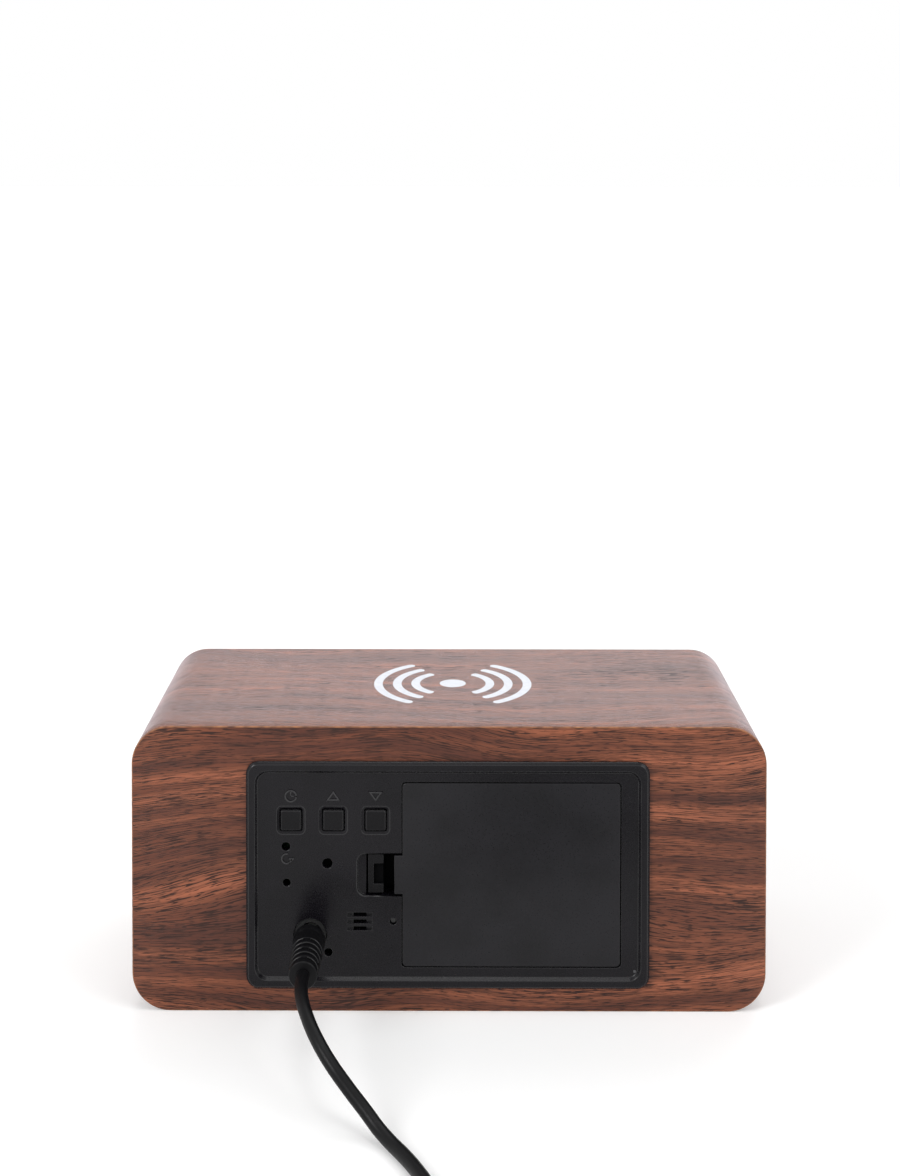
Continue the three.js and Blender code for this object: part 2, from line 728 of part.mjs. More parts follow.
// The spring latch: a finger tab on a tongue whose foot passes under the door's leg
function buildLatch() {
  const half = latchRecessHeight / 2 - latchSideGap;
  const low = latchCentreZ - half;
  const high = latchCentreZ + half;
  const start = bayEndX + latchTongueStart;
  const top = fieldFace - latchTabBelowField;
  const footTop = fieldFace - doorLegDepth - fitGap;
  const tongue = box(
    start, start + latchTongueThickness, footTop - latchFootThickness, top, low, high);
  const tab = box(start, start + latchTabLength, top - latchTabThickness, top, low, high);
  const foot = box(
    bayEndX + doorLipLength - fitGap, start + latchTongueThickness,
    footTop - latchFootThickness, footTop, low, high);
  const barbTop = top - latchTabThickness;
  const barb = prismAlongZ([
    [start + latchTongueThickness, barbTop],
    [start + latchTabLength, barbTop],
    [start + latchTabLength + latchBarbReach, barbTop - latchBarbHeight / 2],
    [start + latchTongueThickness, barbTop - latchBarbHeight],
  ], low + half / 2, high - half / 2);
  const notch = box(
    start - cutOverrun, start + latchNotchLength, top - latchNotchDepth, top + cutOverrun,
    latchCentreZ - latchNotchHeight / 2, latchCentreZ + latchNotchHeight / 2);
  piece('door_latch', cut(join(tongue, tab, foot, barb), notch), blackAbs);
}

// Levels of the switch stack, from the board out to the caps
const flangeFront = plateBack - fitGap;
const flangeBack = flangeFront - buttonFlangeThickness;
const switchTop = boardFace + switchHeight;
const plungerTop = switchTop + plungerProud;

function switchBody(size, radius, travel, x, z) {
  const half = size / 2;
  return cut(
    box(x - half, x + half, boardFace, switchTop, z - half, z + half),
    rodAlongY(radius + fitGap, x, z, switchTop - travel - 2 * fitGap - plungerProud, switchTop + cutOverrun));
}

function plunger(radius, travel, x, z) {
  return rodAlongY(radius, x, z, switchTop - fitGap - plungerProud, plungerTop);
}

// Button caps with a flange and a stem, each on the plunger of its own switch
function buildButtons() {
  for (const { name, x, z } of buttonPlaces) {
    const square = (size, radius) => roundedOutline(size, size, radius, x, z);
    const face = fieldFace + buttonProud;
    const cap = loftAlongY([
      { outline: square(buttonSize, buttonRadius), y: flangeFront },
      { outline: square(buttonSize, buttonRadius), y: face - buttonBevel },
      { outline: square(buttonSize - 2 * buttonBevel, buttonRadius - buttonBevel), y: face },
    ]);
    const half = buttonFlangeSize / 2;
    const flange = box(x - half, x + half, flangeBack, flangeFront, z - half, z + half);
    const stem = rodAlongY(buttonStemRadius, x, z, plungerTop, flangeBack);
    piece(`${name}_button`, join(cap, flange, stem), capAbs);
    piece(`${name}_switch_plunger`, plunger(plungerRadius, buttonTravel, x, z), capAbs);
    piece(`${name}_switch`, switchBody(switchSize, plungerRadius, buttonTravel, x, z), blackAbs);
  }
  piece('reset_plunger', plunger(resetPlungerRadius, resetTravel, resetX, resetZ), whiteAbs);
  piece('reset_switch', switchBody(resetSwitchSize, resetPlungerRadius, resetTravel, resetX, resetZ), blackAbs);
}

// Control board on the panel's standoffs, held by screws from inside
function buildControlBoard() {
  let board = box(boardStartX, boardEndX, boardBack, boardFace, boardLowZ, boardHighZ);
  for (const [x, z] of boardScrewPlaces) {
    board = cut(board, rodAlongY(screwPilotRadius, x, z, boardBack - cutOverrun, boardFace + cutOverrun));
  }
  piece('control_board', board, circuitLaminate);
  boardScrewPlaces.forEach(([x, z], i) => {
    placeScrew(`board_screw_${i + 1}`, x, boardBack, z, Math.PI);
  });
}

// A can on two wire leads that stand on the control board
function cannedPart(radius, x, z, front, length, segments = smallRoundSegments) {
  const spacing = Math.min(leadWireSpacing / 2, radius - leadWireRadius);
  const leads = [-1, 1].map((side) => rodAlongY(
    leadWireRadius, x, z + side * spacing, boardFace, front - length / 2, smallRoundSegments / 2));
  return join(rodAlongY(radius, x, z, front - length, front, segments), ...leads);
}

function buildSmallParts() {
  piece('microphone', cannedPart(
    microphoneRadius, microphoneX, microphoneZ, plateBack - fitGap, microphoneLength), nickelPlate);
  piece('buzzer', cannedPart(
    buzzerRadius, slotCentreX, slotCentreZ, plateBack - fitGap, buzzerLength, roundSegments), capAbs);
  piece('temperature_sensor', cannedPart(
    sensorBeadRadius, sensorX, sensorZ, fieldFace - sensorBelowField, sensorBeadLength), capAbs);
}

// Barrel jack: an upright body on the board, a round nose in the panel, a bore with its pin
const jackFace = fieldFace - fitGap;
const plugFace = fieldFace + plugStandOff;

function buildJackAndPlug() {
  const half = jackBodySize / 2;
  const jack = join(
    cut(
      join(
        box(jackX - half, jackX + half, boardFace, plateBack - fitGap, jackZ - half, jackZ + half),
        rodAlongY(jackNoseRadius, jackX, jackZ, plateBack - 2 * fitGap, jackFace, roundSegments)),
      rodAlongY(jackBoreRadius, jackX, jackZ, jackFace - jackBoreDepth, jackFace + cutOverrun, roundSegments)),
    rodAlongY(jackPinRadius, jackX, jackZ, jackFace - jackBoreDepth - fitGap, jackFace - fitGap));
  piece('dc_jack', jack, capAbs);

  const barrelEnd = plugFace - plugBarrelLength;
  const barrel = turnedAboutY([
    [plugBarrelBore, barrelEnd], [plugBarrelRadius, barrelEnd], [plugBarrelRadius, plugFace],
    [plugBarrelBore, plugFace], [plugBarrelBore, barrelEnd],
  ], jackX, jackZ, smallRoundSegments);
  piece('plug_barrel', barrel, nickelPlate);

  const end = plugFace + gripLength;
  const grip = turnedAboutY([
    [0, plugFace], [gripShoulderRadius - rimBevel, plugFace], [gripShoulderRadius, plugFace + rimBevel],
    [gripShoulderRadius, plugFace + gripShoulderLength],
    [gripWaistRadius, plugFace + gripShoulderLength + rimBevel],
    [gripRibRadius, plugFace + gripSmoothLength], [gripEndRadius, end - rimBevel],
    [gripEndRadius - rimBevel, end], [0, end],
  ], jackX, jackZ);
  const grooves = [];
  for (let i = 0; i < gripGrooveCount; i += 1) {
    const low = plugFace + gripSmoothLength + i * gripGroovePitch;
    const high = low + gripGrooveWidth;
    const floor = gripEndRadius - gripGrooveDepth;
    const outside = gripShoulderRadius + cutOverrun;
    const ring = turnedAboutY(
      [[floor, low], [outside, low], [outside, high], [floor, high], [floor, low]], jackX, jackZ);
    const across = i % 2 ? [gripBridgeWidth / 2, outside] : [outside, gripBridgeWidth / 2];
    grooves.push(cut(ring, box(
      jackX - across[0], jackX + across[0], low - cutOverrun, high + cutOverrun,
      jackZ - across[1], jackZ + across[1])));
  }
  piece('plug_grip', cut(grip, ...grooves), cordVinyl);
}

// Battery contacts: plates on both end walls, a dimple for each plus end, a curled spring for each minus end
const cellPitchZ = bayInnerHeight / cellCount;
const contactWidth = cellPitchZ - contactSpacing;
const cellAxisY = bayFloor + bayDepth / 2;
const cellZ = (i) => bayCentreZ - bayInnerHeight / 2 + (i + 1 / 2) * cellPitchZ;

function contactPlate(name, cells, end) {
  const wall = end < 0 ? bayStartX + bayLedge : bayEndX - bayLedge;
  const inward = -end;
  const low = cellZ(cells[0]) - contactWidth / 2;
  const high = cellZ(cells[cells.length - 1]) + contactWidth / 2;
  const x0 = Math.min(wall, wall + inward * contactThickness);
  const x1 = Math.max(wall, wall + inward * contactThickness);
  let plate = box(x0, x1, cellAxisY - contactHeight / 2, cellAxisY + contactHeight / 2, low, high);
  for (const i of cells) {
    if ((i % 2 === 0) === (end < 0)) continue;
    const dimple = new THREE.LatheGeometry([
      new THREE.Vector2(0, 0), new THREE.Vector2(contactDimpleRadius, 0),
      new THREE.Vector2(contactDimpleRadius / 2, contactDimpleHeight), new THREE.Vector2(0, contactDimpleHeight),
    ], smallRoundSegments);
    dimple.rotateZ(inward > 0 ? -Math.PI / 2 : Math.PI / 2);
    dimple.translate(wall + inward * contactThickness / 2, cellAxisY, cellZ(i));
    plate = join(plate, solid(dimple));
  }
  piece(name, plate, nickelPlate);
}

function batterySpring(i) {
  const end = i % 2 === 0 ? -1 : 1;
  const inward = -end;
  const wall = end < 0 ? bayStartX + bayLedge : bayEndX - bayLedge;
  const start = wall + inward * (contactThickness + fitGap);
  const points = [];
  const steps = springCurls * springSteps;
  for (let s = 0; s <= steps; s += 1) {
    const share = s / steps;
    const angle = 2 * Math.PI * springCurls * share;
    const radius = springBaseRadius + (springTipRadius - springBaseRadius) * share;
    points.push(new THREE.Vector3(
      start + inward * (2 * springWireRadius + springPitch * springCurls * share),
      cellAxisY + radius * Math.cos(angle), cellZ(i) + radius * Math.sin(angle)));
  }
  const first = points[0].clone();
  first.x = start;
  piece(`battery_spring_${i + 1}`, sweptTube(
    [first, ...points], springWireRadius, springSides, new THREE.Vector3(0, 0, 1)), nickelPlate);
  return points;
}

function buildContacts() {
  contactPlate('bridge_contact_1', [0, 1], -1);
  contactPlate('bridge_contact_2', [2, 3], -1);
  contactPlate('minus_contact', [3], 1);
  contactPlate('bridge_contact_3', [1, 2], 1);
  contactPlate('plus_contact', [0], 1);
  const spring = [0, 1, 2, 3].map(batterySpring)[0];
  report('battery spring', spring, springWireRadius, springSteps);
}

// Display: a reflector with a flared well for each bar of four digits, over a board of lamps
const reflectorFront = filmBack + windowGap;
const reflectorBack = frontBoardBack + reflectorFlangeThickness;
const displayBoardBack = reflectorBack + boardThickness;
const moduleWidth = windowWidth + 2 * reflectorFlange;
const moduleHeight = windowHeight + 2 * reflectorFlange;
const moduleScrewPlaces = [-1, 1].flatMap((side) => [-1, 1].map((up) => [
  side * (windowWidth + reflectorFlange) / 2, windowCentreZ + up * (windowHeight + reflectorFlange) / 2]));

// The seven bars of a digit: centre and direction, as shares of half its width and height
const barShares = [
  { x: 0, z: 1, upright: false }, { x: 0, z: 0, upright: false }, { x: 0, z: -1, upright: false },
  { x: -1, z: 1 / 2, upright: true }, { x: 1, z: 1 / 2, upright: true },
  { x: -1, z: -1 / 2, upright: true }, { x: 1, z: -1 / 2, upright: true },
];

function barOutline(x, z, length, stroke, upright) {
  const tip = length / 2;
  const shoulder = tip - stroke / 2;
  const half = stroke / 2;
  const lying = [[-tip, 0], [-shoulder, -half], [shoulder, -half], [tip, 0], [shoulder, half], [-shoulder, half]];
  return lying.map(([u, v]) => new THREE.Vector2(x + (upright ? -v : u), z + (upright ? u : v)));
}

// Centres, lengths and directions of every bar on the display
function displayBars() {
  const spanX = (digitWidth - digitStroke) / 2;
  const spanZ = (digitHeight - digitStroke) / 2;
  const bars = [];
  for (const place of [-3 / 2, -1 / 2, 1 / 2, 3 / 2]) {
    const centre = place * digitPitch + Math.sign(place) * (colonWidth - digitPitch + digitWidth) / 2;
    for (const { x, z, upright } of barShares) {
      const length = (upright ? spanZ : 2 * spanX) - segmentGap;
      bars.push({ x: centre + x * spanX, z: windowCentreZ + z * spanZ, length, upright });
    }
  }
  return bars;
}

function buildDisplay() {
  const block = roundedOutline(
    windowWidth - 2 * windowGap, windowHeight - 2 * windowGap, windowRadius - windowGap, 0, windowCentreZ);
  let reflector = join(
    prismAlongY(block, reflectorFront, reflectorBack),
    box(-moduleWidth / 2, moduleWidth / 2, frontBoardBack, reflectorBack,
      windowCentreZ - moduleHeight / 2, windowCentreZ + moduleHeight / 2));
  let board = box(
    -moduleWidth / 2 + displayBoardMargin, moduleWidth / 2 - displayBoardMargin, reflectorBack, displayBoardBack,
    windowCentreZ - moduleHeight / 2 + displayBoardMargin, windowCentreZ + moduleHeight / 2 - displayBoardMargin);
  for (const { x, z, length, upright } of displayBars()) {
    reflector = cut(reflector, loftAlongY([
      { outline: barOutline(x, z, length, digitStroke, upright), y: reflectorFront },
      { outline: barOutline(x, z, length - digitStroke, ledSize + 2 * fitGap, upright), y: reflectorBack },
    ]));
    const half = ledSize / 2;
    board = join(board, box(x - half, x + half, reflectorBack - ledHeight, reflectorBack, z - half, z + half));
  }
  for (const side of [-1, 1]) {
    const z = windowCentreZ + side * colonSpacing / 2;
    const half = ledSize / 2;
    reflector = cut(reflector, rodAlongY(colonRadius, 0, z, reflectorFront - cutOverrun, reflectorBack + cutOverrun));
    board = join(board, box(-half, half, reflectorBack - ledHeight, reflectorBack, z - half, z + half));
  }
  for (const [x, z] of moduleScrewPlaces) {
    const hole = rodAlongY(screwPilotRadius, x, z, frontBoardBack - cutOverrun, displayBoardBack + cutOverrun);
    reflector = cut(reflector, hole);
    board = cut(board, hole);
  }
  piece('display_reflector', reflector, whiteAbs);
  piece('display_board', board, circuitLaminate);
  moduleScrewPlaces.forEach(([x, z], i) => placeScrew(`display_screw_${i + 1}`, x, displayBoardBack, z, 0));
}

// Charging module: coil and ferrite in a tray under the top, its board on the tray's two pegs
const chargerY = (displayBoardBack + rearBoardFront) / 2 - chargerSetForward;
const trayRadius = (rearBoardFront - displayBoardBack) / 2 - chargerSetForward - trayEndGap;
const coilOuterRadius = trayRadius - trayWall - fitGap;
const coilInnerRadius = coilOuterRadius - coilWindingWidth;
const chargerPostSpacing = 2 * (trayRadius - chargerPostInset);
const chargerBoardLength = chargerPostSpacing + 2 * chargerBoardOverhang;
const coilTop = ceiling - fitGap;
const ferriteTop = coilTop - coilThickness;
const trayFloorTop = ferriteTop - ferriteThickness;
const trayBottom = trayFloorTop - trayFloor;
const trayScrewPlaces = [-1, 1].map((side) => [chargerX + side * (trayRadius + trayEarReach / 2), chargerY]);
const chargerBoardTop = trayBottom - chargerBoardDrop;
const chargerBoardBottom = chargerBoardTop - boardThickness;

function buildCharger() {
  piece('charging_coil', cut(
    rodAlongZ(coilOuterRadius, chargerX, chargerY, ferriteTop, coilTop, roundSegments),
    rodAlongZ(coilInnerRadius, chargerX, chargerY, ferriteTop - cutOverrun, coilTop + cutOverrun, roundSegments)),
  copperWire);
  piece('ferrite_plate', rodAlongZ(
    coilOuterRadius, chargerX, chargerY, trayFloorTop, ferriteTop, roundSegments), ferrite);
  const reach = trayRadius + trayEarReach;
  let tray = join(
    rodAlongZ(trayRadius, chargerX, chargerY, trayBottom, ceiling, roundSegments),
    box(chargerX - reach, chargerX + reach, chargerY - trayEarWidth / 2, chargerY + trayEarWidth / 2,
      ceiling - 2 * trayFloor, ceiling));
  tray = cut(tray, rodAlongZ(
    coilOuterRadius + fitGap, chargerX, chargerY, trayFloorTop, ceiling + cutOverrun, roundSegments));
  let board = box(
    chargerX - chargerBoardLength / 2, chargerX + chargerBoardLength / 2,
    chargerY - chargerBoardWidth / 2, chargerY + chargerBoardWidth / 2, chargerBoardBottom, chargerBoardTop);
  for (const side of [-1, 1]) {
    const x = chargerX + side * chargerPostSpacing / 2;
    tray = join(tray,
      rodAlongZ(chargerPostRadius, x, chargerY, chargerBoardTop, trayFloorTop),
      rodAlongZ(chargerPegRadius, x, chargerY, chargerBoardBottom - trayFloor, chargerBoardTop));
    board = cut(board, rodAlongZ(
      chargerPegRadius + fitGap, x, chargerY, chargerBoardBottom - cutOverrun, chargerBoardTop + cutOverrun));
  }
  for (const [x, y] of trayScrewPlaces) {
    tray = cut(tray, rodAlongZ(screwPilotRadius, x, y, trayBottom - cutOverrun, ceiling + cutOverrun));
  }
  piece('coil_tray', tray, whiteAbs);
  piece('charging_board', board, circuitLaminate);
  trayScrewPlaces.forEach(([x, y], i) => placeScrew(
    `tray_screw_${i + 1}`, x, y, ceiling - 2 * trayFloor, -Math.PI / 2));
}

// Cables inside: a flat ribbon to the display and a round cable to the charging board
function buildInnerCables() {
  const ribbonX = (boardStartX + boardEndX) / 2;
  const start = displayBoardBack + fitGap;
  const end = boardBack - fitGap;
  const near = [];
  const far = [];
  for (let i = 0; i <= cornerSegments; i += 1) {
    const share = i / cornerSegments;
    const x = ribbonX + ribbonWidth / 2 * Math.sin(Math.PI * share);
    const y = start + (end - start) * share;
    near.push([x - ribbonThickness / 2, y]);
    far.unshift([x + ribbonThickness / 2, y]);
  }
  piece('display_ribbon', prismAlongZ(
    [...near, ...far], panelCentreZ - ribbonWidth / 2, panelCentreZ + ribbonWidth / 2), greyCable);

  const boardEdge = chargerX + chargerBoardLength / 2 + fitGap;
  const middle = (chargerBoardTop + chargerBoardBottom) / 2;
  const curve = new THREE.CubicBezierCurve3(
    new THREE.Vector3(boardEdge, chargerY, middle),
    new THREE.Vector3(boardEdge + ribbonWidth, chargerY, middle),
    new THREE.Vector3(boardEdge + ribbonWidth, chargerY, buttonRowZ),
    new THREE.Vector3(boardEdge + ribbonWidth, end, buttonRowZ));
  piece('charger_cable', sweptTube(
    curve.getPoints(cornerSegments), innerCableRadius, springSides, new THREE.Vector3(0, 0, 1)), greyCable);
}

// Screws are one shape, with the bearing face of the head on y = 0, placed and turned as meshes
const screwShape = (() => {
  const half = screwHeadRadius - screwRecessWidth;
  const cross = [[half, screwRecessWidth / 2], [screwRecessWidth / 2, half]].map(([u, v]) => box(
    -u, u, screwHeadHeight - screwRecessDepth, screwHeadHeight + cutOverrun, -v, v));
  return cut(
    join(rodAlongY(screwHeadRadius, 0, 0, 0, screwHeadHeight),
      rodAlongY(screwShankRadius, 0, 0, -screwShankLength, screwHeadHeight / 2)),
    ...cross);
})();

function placeScrew(name, x, y, z, turn) {
  const mesh = piece(name, screwShape, zincScrew);
  mesh.rotation.x = turn;
  const away = new THREE.Vector3(0, seatGap, 0).applyEuler(mesh.rotation);
  mesh.position.set(x, y, z).add(away);
}

// The power lead. Its points are in millimetres, from the plug grip down to the table and on to the coil.
const gripEnd = plugFace + gripLength;
const leadRoute = [
  [32.8, 58, 18.35], [32.2, 63.5, 17.8], [30.6, 69.3, 16.6], [28, 75, 14.4], [24.7, 79.3, 11.4],
  [20.9, 82.4, 7.9], [17, 85.5, 4.6], [14.6, 88, 2.8], [12, 91.3, 1.8], [9.3, 95.5, 1.6],
  [6.4, 101, 1.6], [3.6, 108, 1.7], [1.5, 117, 2], [0.5, 126, 2.3],
];
const coilOuter = coilMeanRadius + coilTurnsPerLayer * coilTurnPitch / 2;
const coilLowZ = cordRadius + tieThickness + fitGap;
const coilStraight = 2 * cordRadius;
const coilStartX = coilCentreX + coilOuter;
const coilLastQuarter = 1 / 4;
const farPlugY = coilCentreY + coilOuter + coilTurnPitch * coilLastQuarter;
const farPlugZ = usbGripHeight / 2;

function buildLeadCord() {
  const points = [
    new THREE.Vector3(jackX, gripEnd + fitGap, jackZ),
    ...leadRoute.map(([x, y, z]) => new THREE.Vector3(x, y, z)),
    new THREE.Vector3(coilStartX, coilCentreY - 2 * coilStraight, coilLowZ),
    new THREE.Vector3(coilStartX, coilCentreY - coilStraight - fitGap, coilLowZ),
  ];
  const path = new THREE.CatmullRomCurve3(points, false, 'centripetal');
  const section = new THREE.Shape();
  for (let k = 0; k < cordSides; k += 1) {
    const angle = 2 * Math.PI * (k + 1 / 2) / cordSides;
    const x = cordRadius * Math.cos(angle);
    const y = cordRadius * Math.sin(angle);
    if (k === 0) section.moveTo(x, y);
    else section.lineTo(x, y);
  }
  section.closePath();
  const geometry = new THREE.ExtrudeGeometry(section, { steps: cordSteps, extrudePath: path });
  piece('lead_cord', solid(geometry), cordVinyl);
  return path.getLength();
}

// Piled loops: in along the lower layer, up in the half turn where the spiral reverses, out along the upper one
function buildLeadCoil() {
  const turns = coilLayers * coilTurnsPerLayer + coilLastQuarter;
  const steps = turns * coilStepsPerTurn;
  const points = [new THREE.Vector3(coilStartX, coilCentreY - coilStraight, coilLowZ)];
  for (let s = 0; s <= steps; s += 1) {
    const turn = s / coilStepsPerTurn;
    const inward = Math.min(turn, coilLayers * coilTurnsPerLayer - turn);
    const radius = coilOuter - coilTurnPitch * inward;
    const climb = THREE.MathUtils.clamp((turn - coilTurnsPerLayer) / coilClimbTurns + 1 / 2, 0, 1);
    const angle = 2 * Math.PI * turn;
    points.push(new THREE.Vector3(
      coilCentreX + radius * Math.cos(angle), coilCentreY + radius * Math.sin(angle),
      coilLowZ + coilLayerPitch * climb));
  }
  points.push(
    new THREE.Vector3(coilCentreX - coilTail + coilStraight, farPlugY, farPlugZ),
    new THREE.Vector3(coilCentreX - coilTail, farPlugY, farPlugZ));
  piece('lead_coil', sweptTube(points, cordRadius, coilSides, new THREE.Vector3(0, 0, 1)), cordVinyl);
  report('lead coil', points, cordRadius, coilStepsPerTurn);
  let length = 0;
  for (let i = 1; i < points.length; i += 1) length += points[i].distanceTo(points[i - 1]);
  return length;
}

// A band round the coil on its far side from the cord
function buildTie() {
  const top = coilLowZ + (coilLayers - 1) * coilLayerPitch + cordRadius + fitGap;
  const near = coilCentreX - coilOuter + coilTurnsPerLayer * coilTurnPitch + cordRadius + fitGap;
  const far = coilCentreX - coilOuter - cordRadius - fitGap;
  const low = coilCentreY - tieWidth / 2;
  const high = coilCentreY + tieWidth / 2;
  piece('coil_tie', cut(
    box(far - tieThickness, near + tieThickness, low, high, 0, top + tieThickness),
    box(far, near, low - cutOverrun, high + cutOverrun, tieThickness, top)), cordVinyl);
}

// The far plug lies on the table behind the coil, pointing along -X
function buildFarPlug() {
  const y = farPlugY;
  const z = farPlugZ;
  const start = coilCentreX - coilTail - fitGap;
  const outline = roundedOutline(usbGripWidth, usbGripHeight, usbGripRadius, y, z);
  const neck = roundedOutline(usbGripWidth / 2, usbGripHeight * 2 / 3, usbGripRadius, y, z);
  // Outlines here are in the YZ plane, so the loft along Y is laid over onto X as a mesh
  const grip = loftAlongY([
    { outline: neck, y: 0 }, { outline: neck, y: usbGripNeck / 2 }, { outline, y: usbGripNeck },
    { outline, y: usbGripLength },
  ]);
  const shellOutline = roundedOutline(usbShellWidth, usbShellHeight, usbShellWall, y, z, 1);
  const shellBore = roundedOutline(
    usbShellWidth - 2 * usbShellWall, usbShellHeight - 2 * usbShellWall, usbShellWall / 2, y, z, 1);
  const shellEnd = usbGripLength + usbShellLength;
  let shell = cut(
    prismAlongY(shellOutline, usbGripLength, shellEnd),
    prismAlongY(shellBore, usbGripLength - cutOverrun, shellEnd + cutOverrun));
  for (const side of [-1, 1]) {
    const across = y + side * usbShellWidth / 4;
    const along = usbGripLength + usbShellLength / 2;
    shell = cut(shell, box(
      across - usbShellHole / 2, across + usbShellHole / 2, along - usbShellHole / 2, along + usbShellHole / 2,
      z - usbGripHeight, z + usbGripHeight));
  }
  const boreFloor = z - usbShellHeight / 2 + usbShellWall;
  const tongue = box(
    y - usbTongueWidth / 2, y + usbTongueWidth / 2, usbGripLength, shellEnd - 2 * usbShellWall,
    boreFloor + seatGap, boreFloor + seatGap + usbTongueThickness);
  for (const [name, shape, material] of [
    ['usb_grip', grip, cordVinyl], ['usb_shell', shell, nickelPlate], ['usb_tongue', tongue, whiteAbs],
  ]) {
    const mesh = piece(name, shape, material);
    mesh.rotation.z = Math.PI / 2;
    mesh.position.set(start, 0, 0);
  }
}

buildCase();
buildPanel();
buildDoor();
buildLatch();
buildButtons();
buildControlBoard();
buildSmallParts();
buildJackAndPlug();
buildContacts();
buildDisplay();
buildCharger();
buildInnerCables();
const leadLength = buildLeadCord() + buildLeadCoil();
buildTie();
buildFarPlug();
console.log(`power lead: ${leadLength.toFixed(0)} mm long`);

export default clock;
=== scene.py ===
# %% [markdown]
# # A wood-cased alarm clock, dressed in Blender
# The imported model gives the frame: its parts, their places and how they move. This script adds what the eye
# expects on top: foil with grain, moulded plastic with soft edges, printed marks, a cord that lies as a
# cord does. Everything is in metres, so a helper turns millimetres, in which such a clock is drawn, into
# metres.

# %% Load the frame
import math

import bmesh
import bpy
from mathutils import Euler, Matrix, Vector


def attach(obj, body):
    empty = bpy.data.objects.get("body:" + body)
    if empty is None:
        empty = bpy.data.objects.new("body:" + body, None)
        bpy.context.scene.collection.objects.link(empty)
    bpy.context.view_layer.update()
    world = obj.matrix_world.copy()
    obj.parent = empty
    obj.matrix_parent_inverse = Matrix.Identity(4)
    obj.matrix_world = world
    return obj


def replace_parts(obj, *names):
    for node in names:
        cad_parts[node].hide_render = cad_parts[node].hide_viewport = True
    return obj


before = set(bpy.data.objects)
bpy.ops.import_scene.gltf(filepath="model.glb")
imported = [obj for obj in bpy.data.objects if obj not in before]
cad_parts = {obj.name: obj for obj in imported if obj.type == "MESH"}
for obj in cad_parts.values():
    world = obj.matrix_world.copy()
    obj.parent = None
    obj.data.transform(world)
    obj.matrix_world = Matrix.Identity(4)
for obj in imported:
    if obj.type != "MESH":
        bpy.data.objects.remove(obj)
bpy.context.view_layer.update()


def mm(*values):
    """Millimetres to metres: one number, or a vector of several."""
    return values[0] / 1000 if len(values) == 1 else Vector(values) / 1000


# %% [markdown]
# ## The camera
# The photograph was taken from behind the clock and a little above it, with the camera almost level and the
# clock in the lower part of the picture. A level camera with a shifted lens keeps upright edges upright,
# which is what the picture shows, so the same is set here in place of tilting the camera down.

# %% Camera
# The photograph's size, its focal length and the middle of its view, in its own pixels
PHOTO_WIDTH, PHOTO_HEIGHT = 900, 1176
FOCAL_LENGTH = 1736.9
VIEW_X, VIEW_Y = 439.9, 217.1
# The camera's place in millimetres, and how far it dips, rolls and turns in degrees
CAMERA_PLACE = (0.68, 439.0, 199.07)
DIP, ROLL, TURN = 1.53, -0.04, 0.22
SENSOR = 36.0

camera_data = bpy.data.cameras.new("photo_camera")
camera_data.sensor_width = SENSOR
camera_data.lens = FOCAL_LENGTH * SENSOR / PHOTO_HEIGHT
camera_data.shift_x = (PHOTO_WIDTH / 2 - VIEW_X) / PHOTO_HEIGHT
camera_data.shift_y = (VIEW_Y - PHOTO_HEIGHT / 2) / PHOTO_HEIGHT
camera_data.clip_start = mm(10)
camera = bpy.data.objects.new("photo_camera", camera_data)
camera.location = mm(*CAMERA_PLACE)
camera.rotation_euler = Euler((math.radians(90 - DIP), math.radians(ROLL), math.radians(180 + TURN)))
bpy.context.scene.collection.objects.link(camera)
bpy.context.scene.camera = camera
print("lens", round(camera_data.lens, 2), "mm")

# %% [markdown]
# ## Small tools for materials
# A colour picker gives sRGB hex values, while shaders compute in linear light, so one function converts. A
# second one adds a node, sets it and links it in one line, which keeps each material short enough to read
# as a recipe.


# %% Colour and node helpers
def hex_colour(code):
    """An sRGB hex colour as linear RGBA."""
    channels = [int(code[i:i + 2], 16) / 255 for i in (1, 3, 5)]
    return [c / 12.92 if c <= 0.04045 else ((c + 0.055) / 1.055) ** 2.4 for c in channels] + [1.0]


def add_node(tree, kind, settings=None, **inputs):
    """Add a node of a kind with its properties, and set or link its inputs.

    An underscore in an input's name stands for a space, and i0, i1 and so on are inputs by number.
    """
    node = tree.nodes.new(kind)
    for name, value in (settings or {}).items():
        setattr(node, name, value)
    for name, value in inputs.items():
        key = int(name[1:]) if name[0] == "i" and name[1:].isdigit() else name.replace("_", " ")
        if isinstance(value, bpy.types.NodeSocket):
            tree.links.new(value, node.inputs[key])
        else:
            node.inputs[key].default_value = value
    return node


def new_material(name):
    """An empty node material with its output and one Principled shader."""
    material = bpy.data.materials.new(name)
    material.use_nodes = True
    tree = material.node_tree
    tree.nodes.clear()
    shader = add_node(tree, "ShaderNodeBsdfPrincipled")
    add_node(tree, "ShaderNodeOutputMaterial", Surface=shader.outputs["BSDF"])
    return material, tree, shader


def ramp_between(tree, fac, stops):
    """A colour ramp with (position, hex colour) stops."""
    ramp = add_node(tree, "ShaderNodeValToRGB", Fac=fac)
    elements = ramp.color_ramp.elements
    while len(elements) < len(stops):
        elements.new(0.5)
    for element, (position, code) in zip(elements, stops):
        element.position = position
        element.color = hex_colour(code)
    return ramp.outputs["Color"]


# %% [markdown]
# ## Floor, backdrop and light
# The photograph is a cut-out on white with a trace of shadow under the case. The floor is a matt white
# sheet. For camera rays a little white is added to it, so that it reaches paper white and its shadow stays.
# The world is a pale soft dome. Suns as wide as softboxes give edges their shape, and light the whole floor
# evenly, as a studio sweep is.

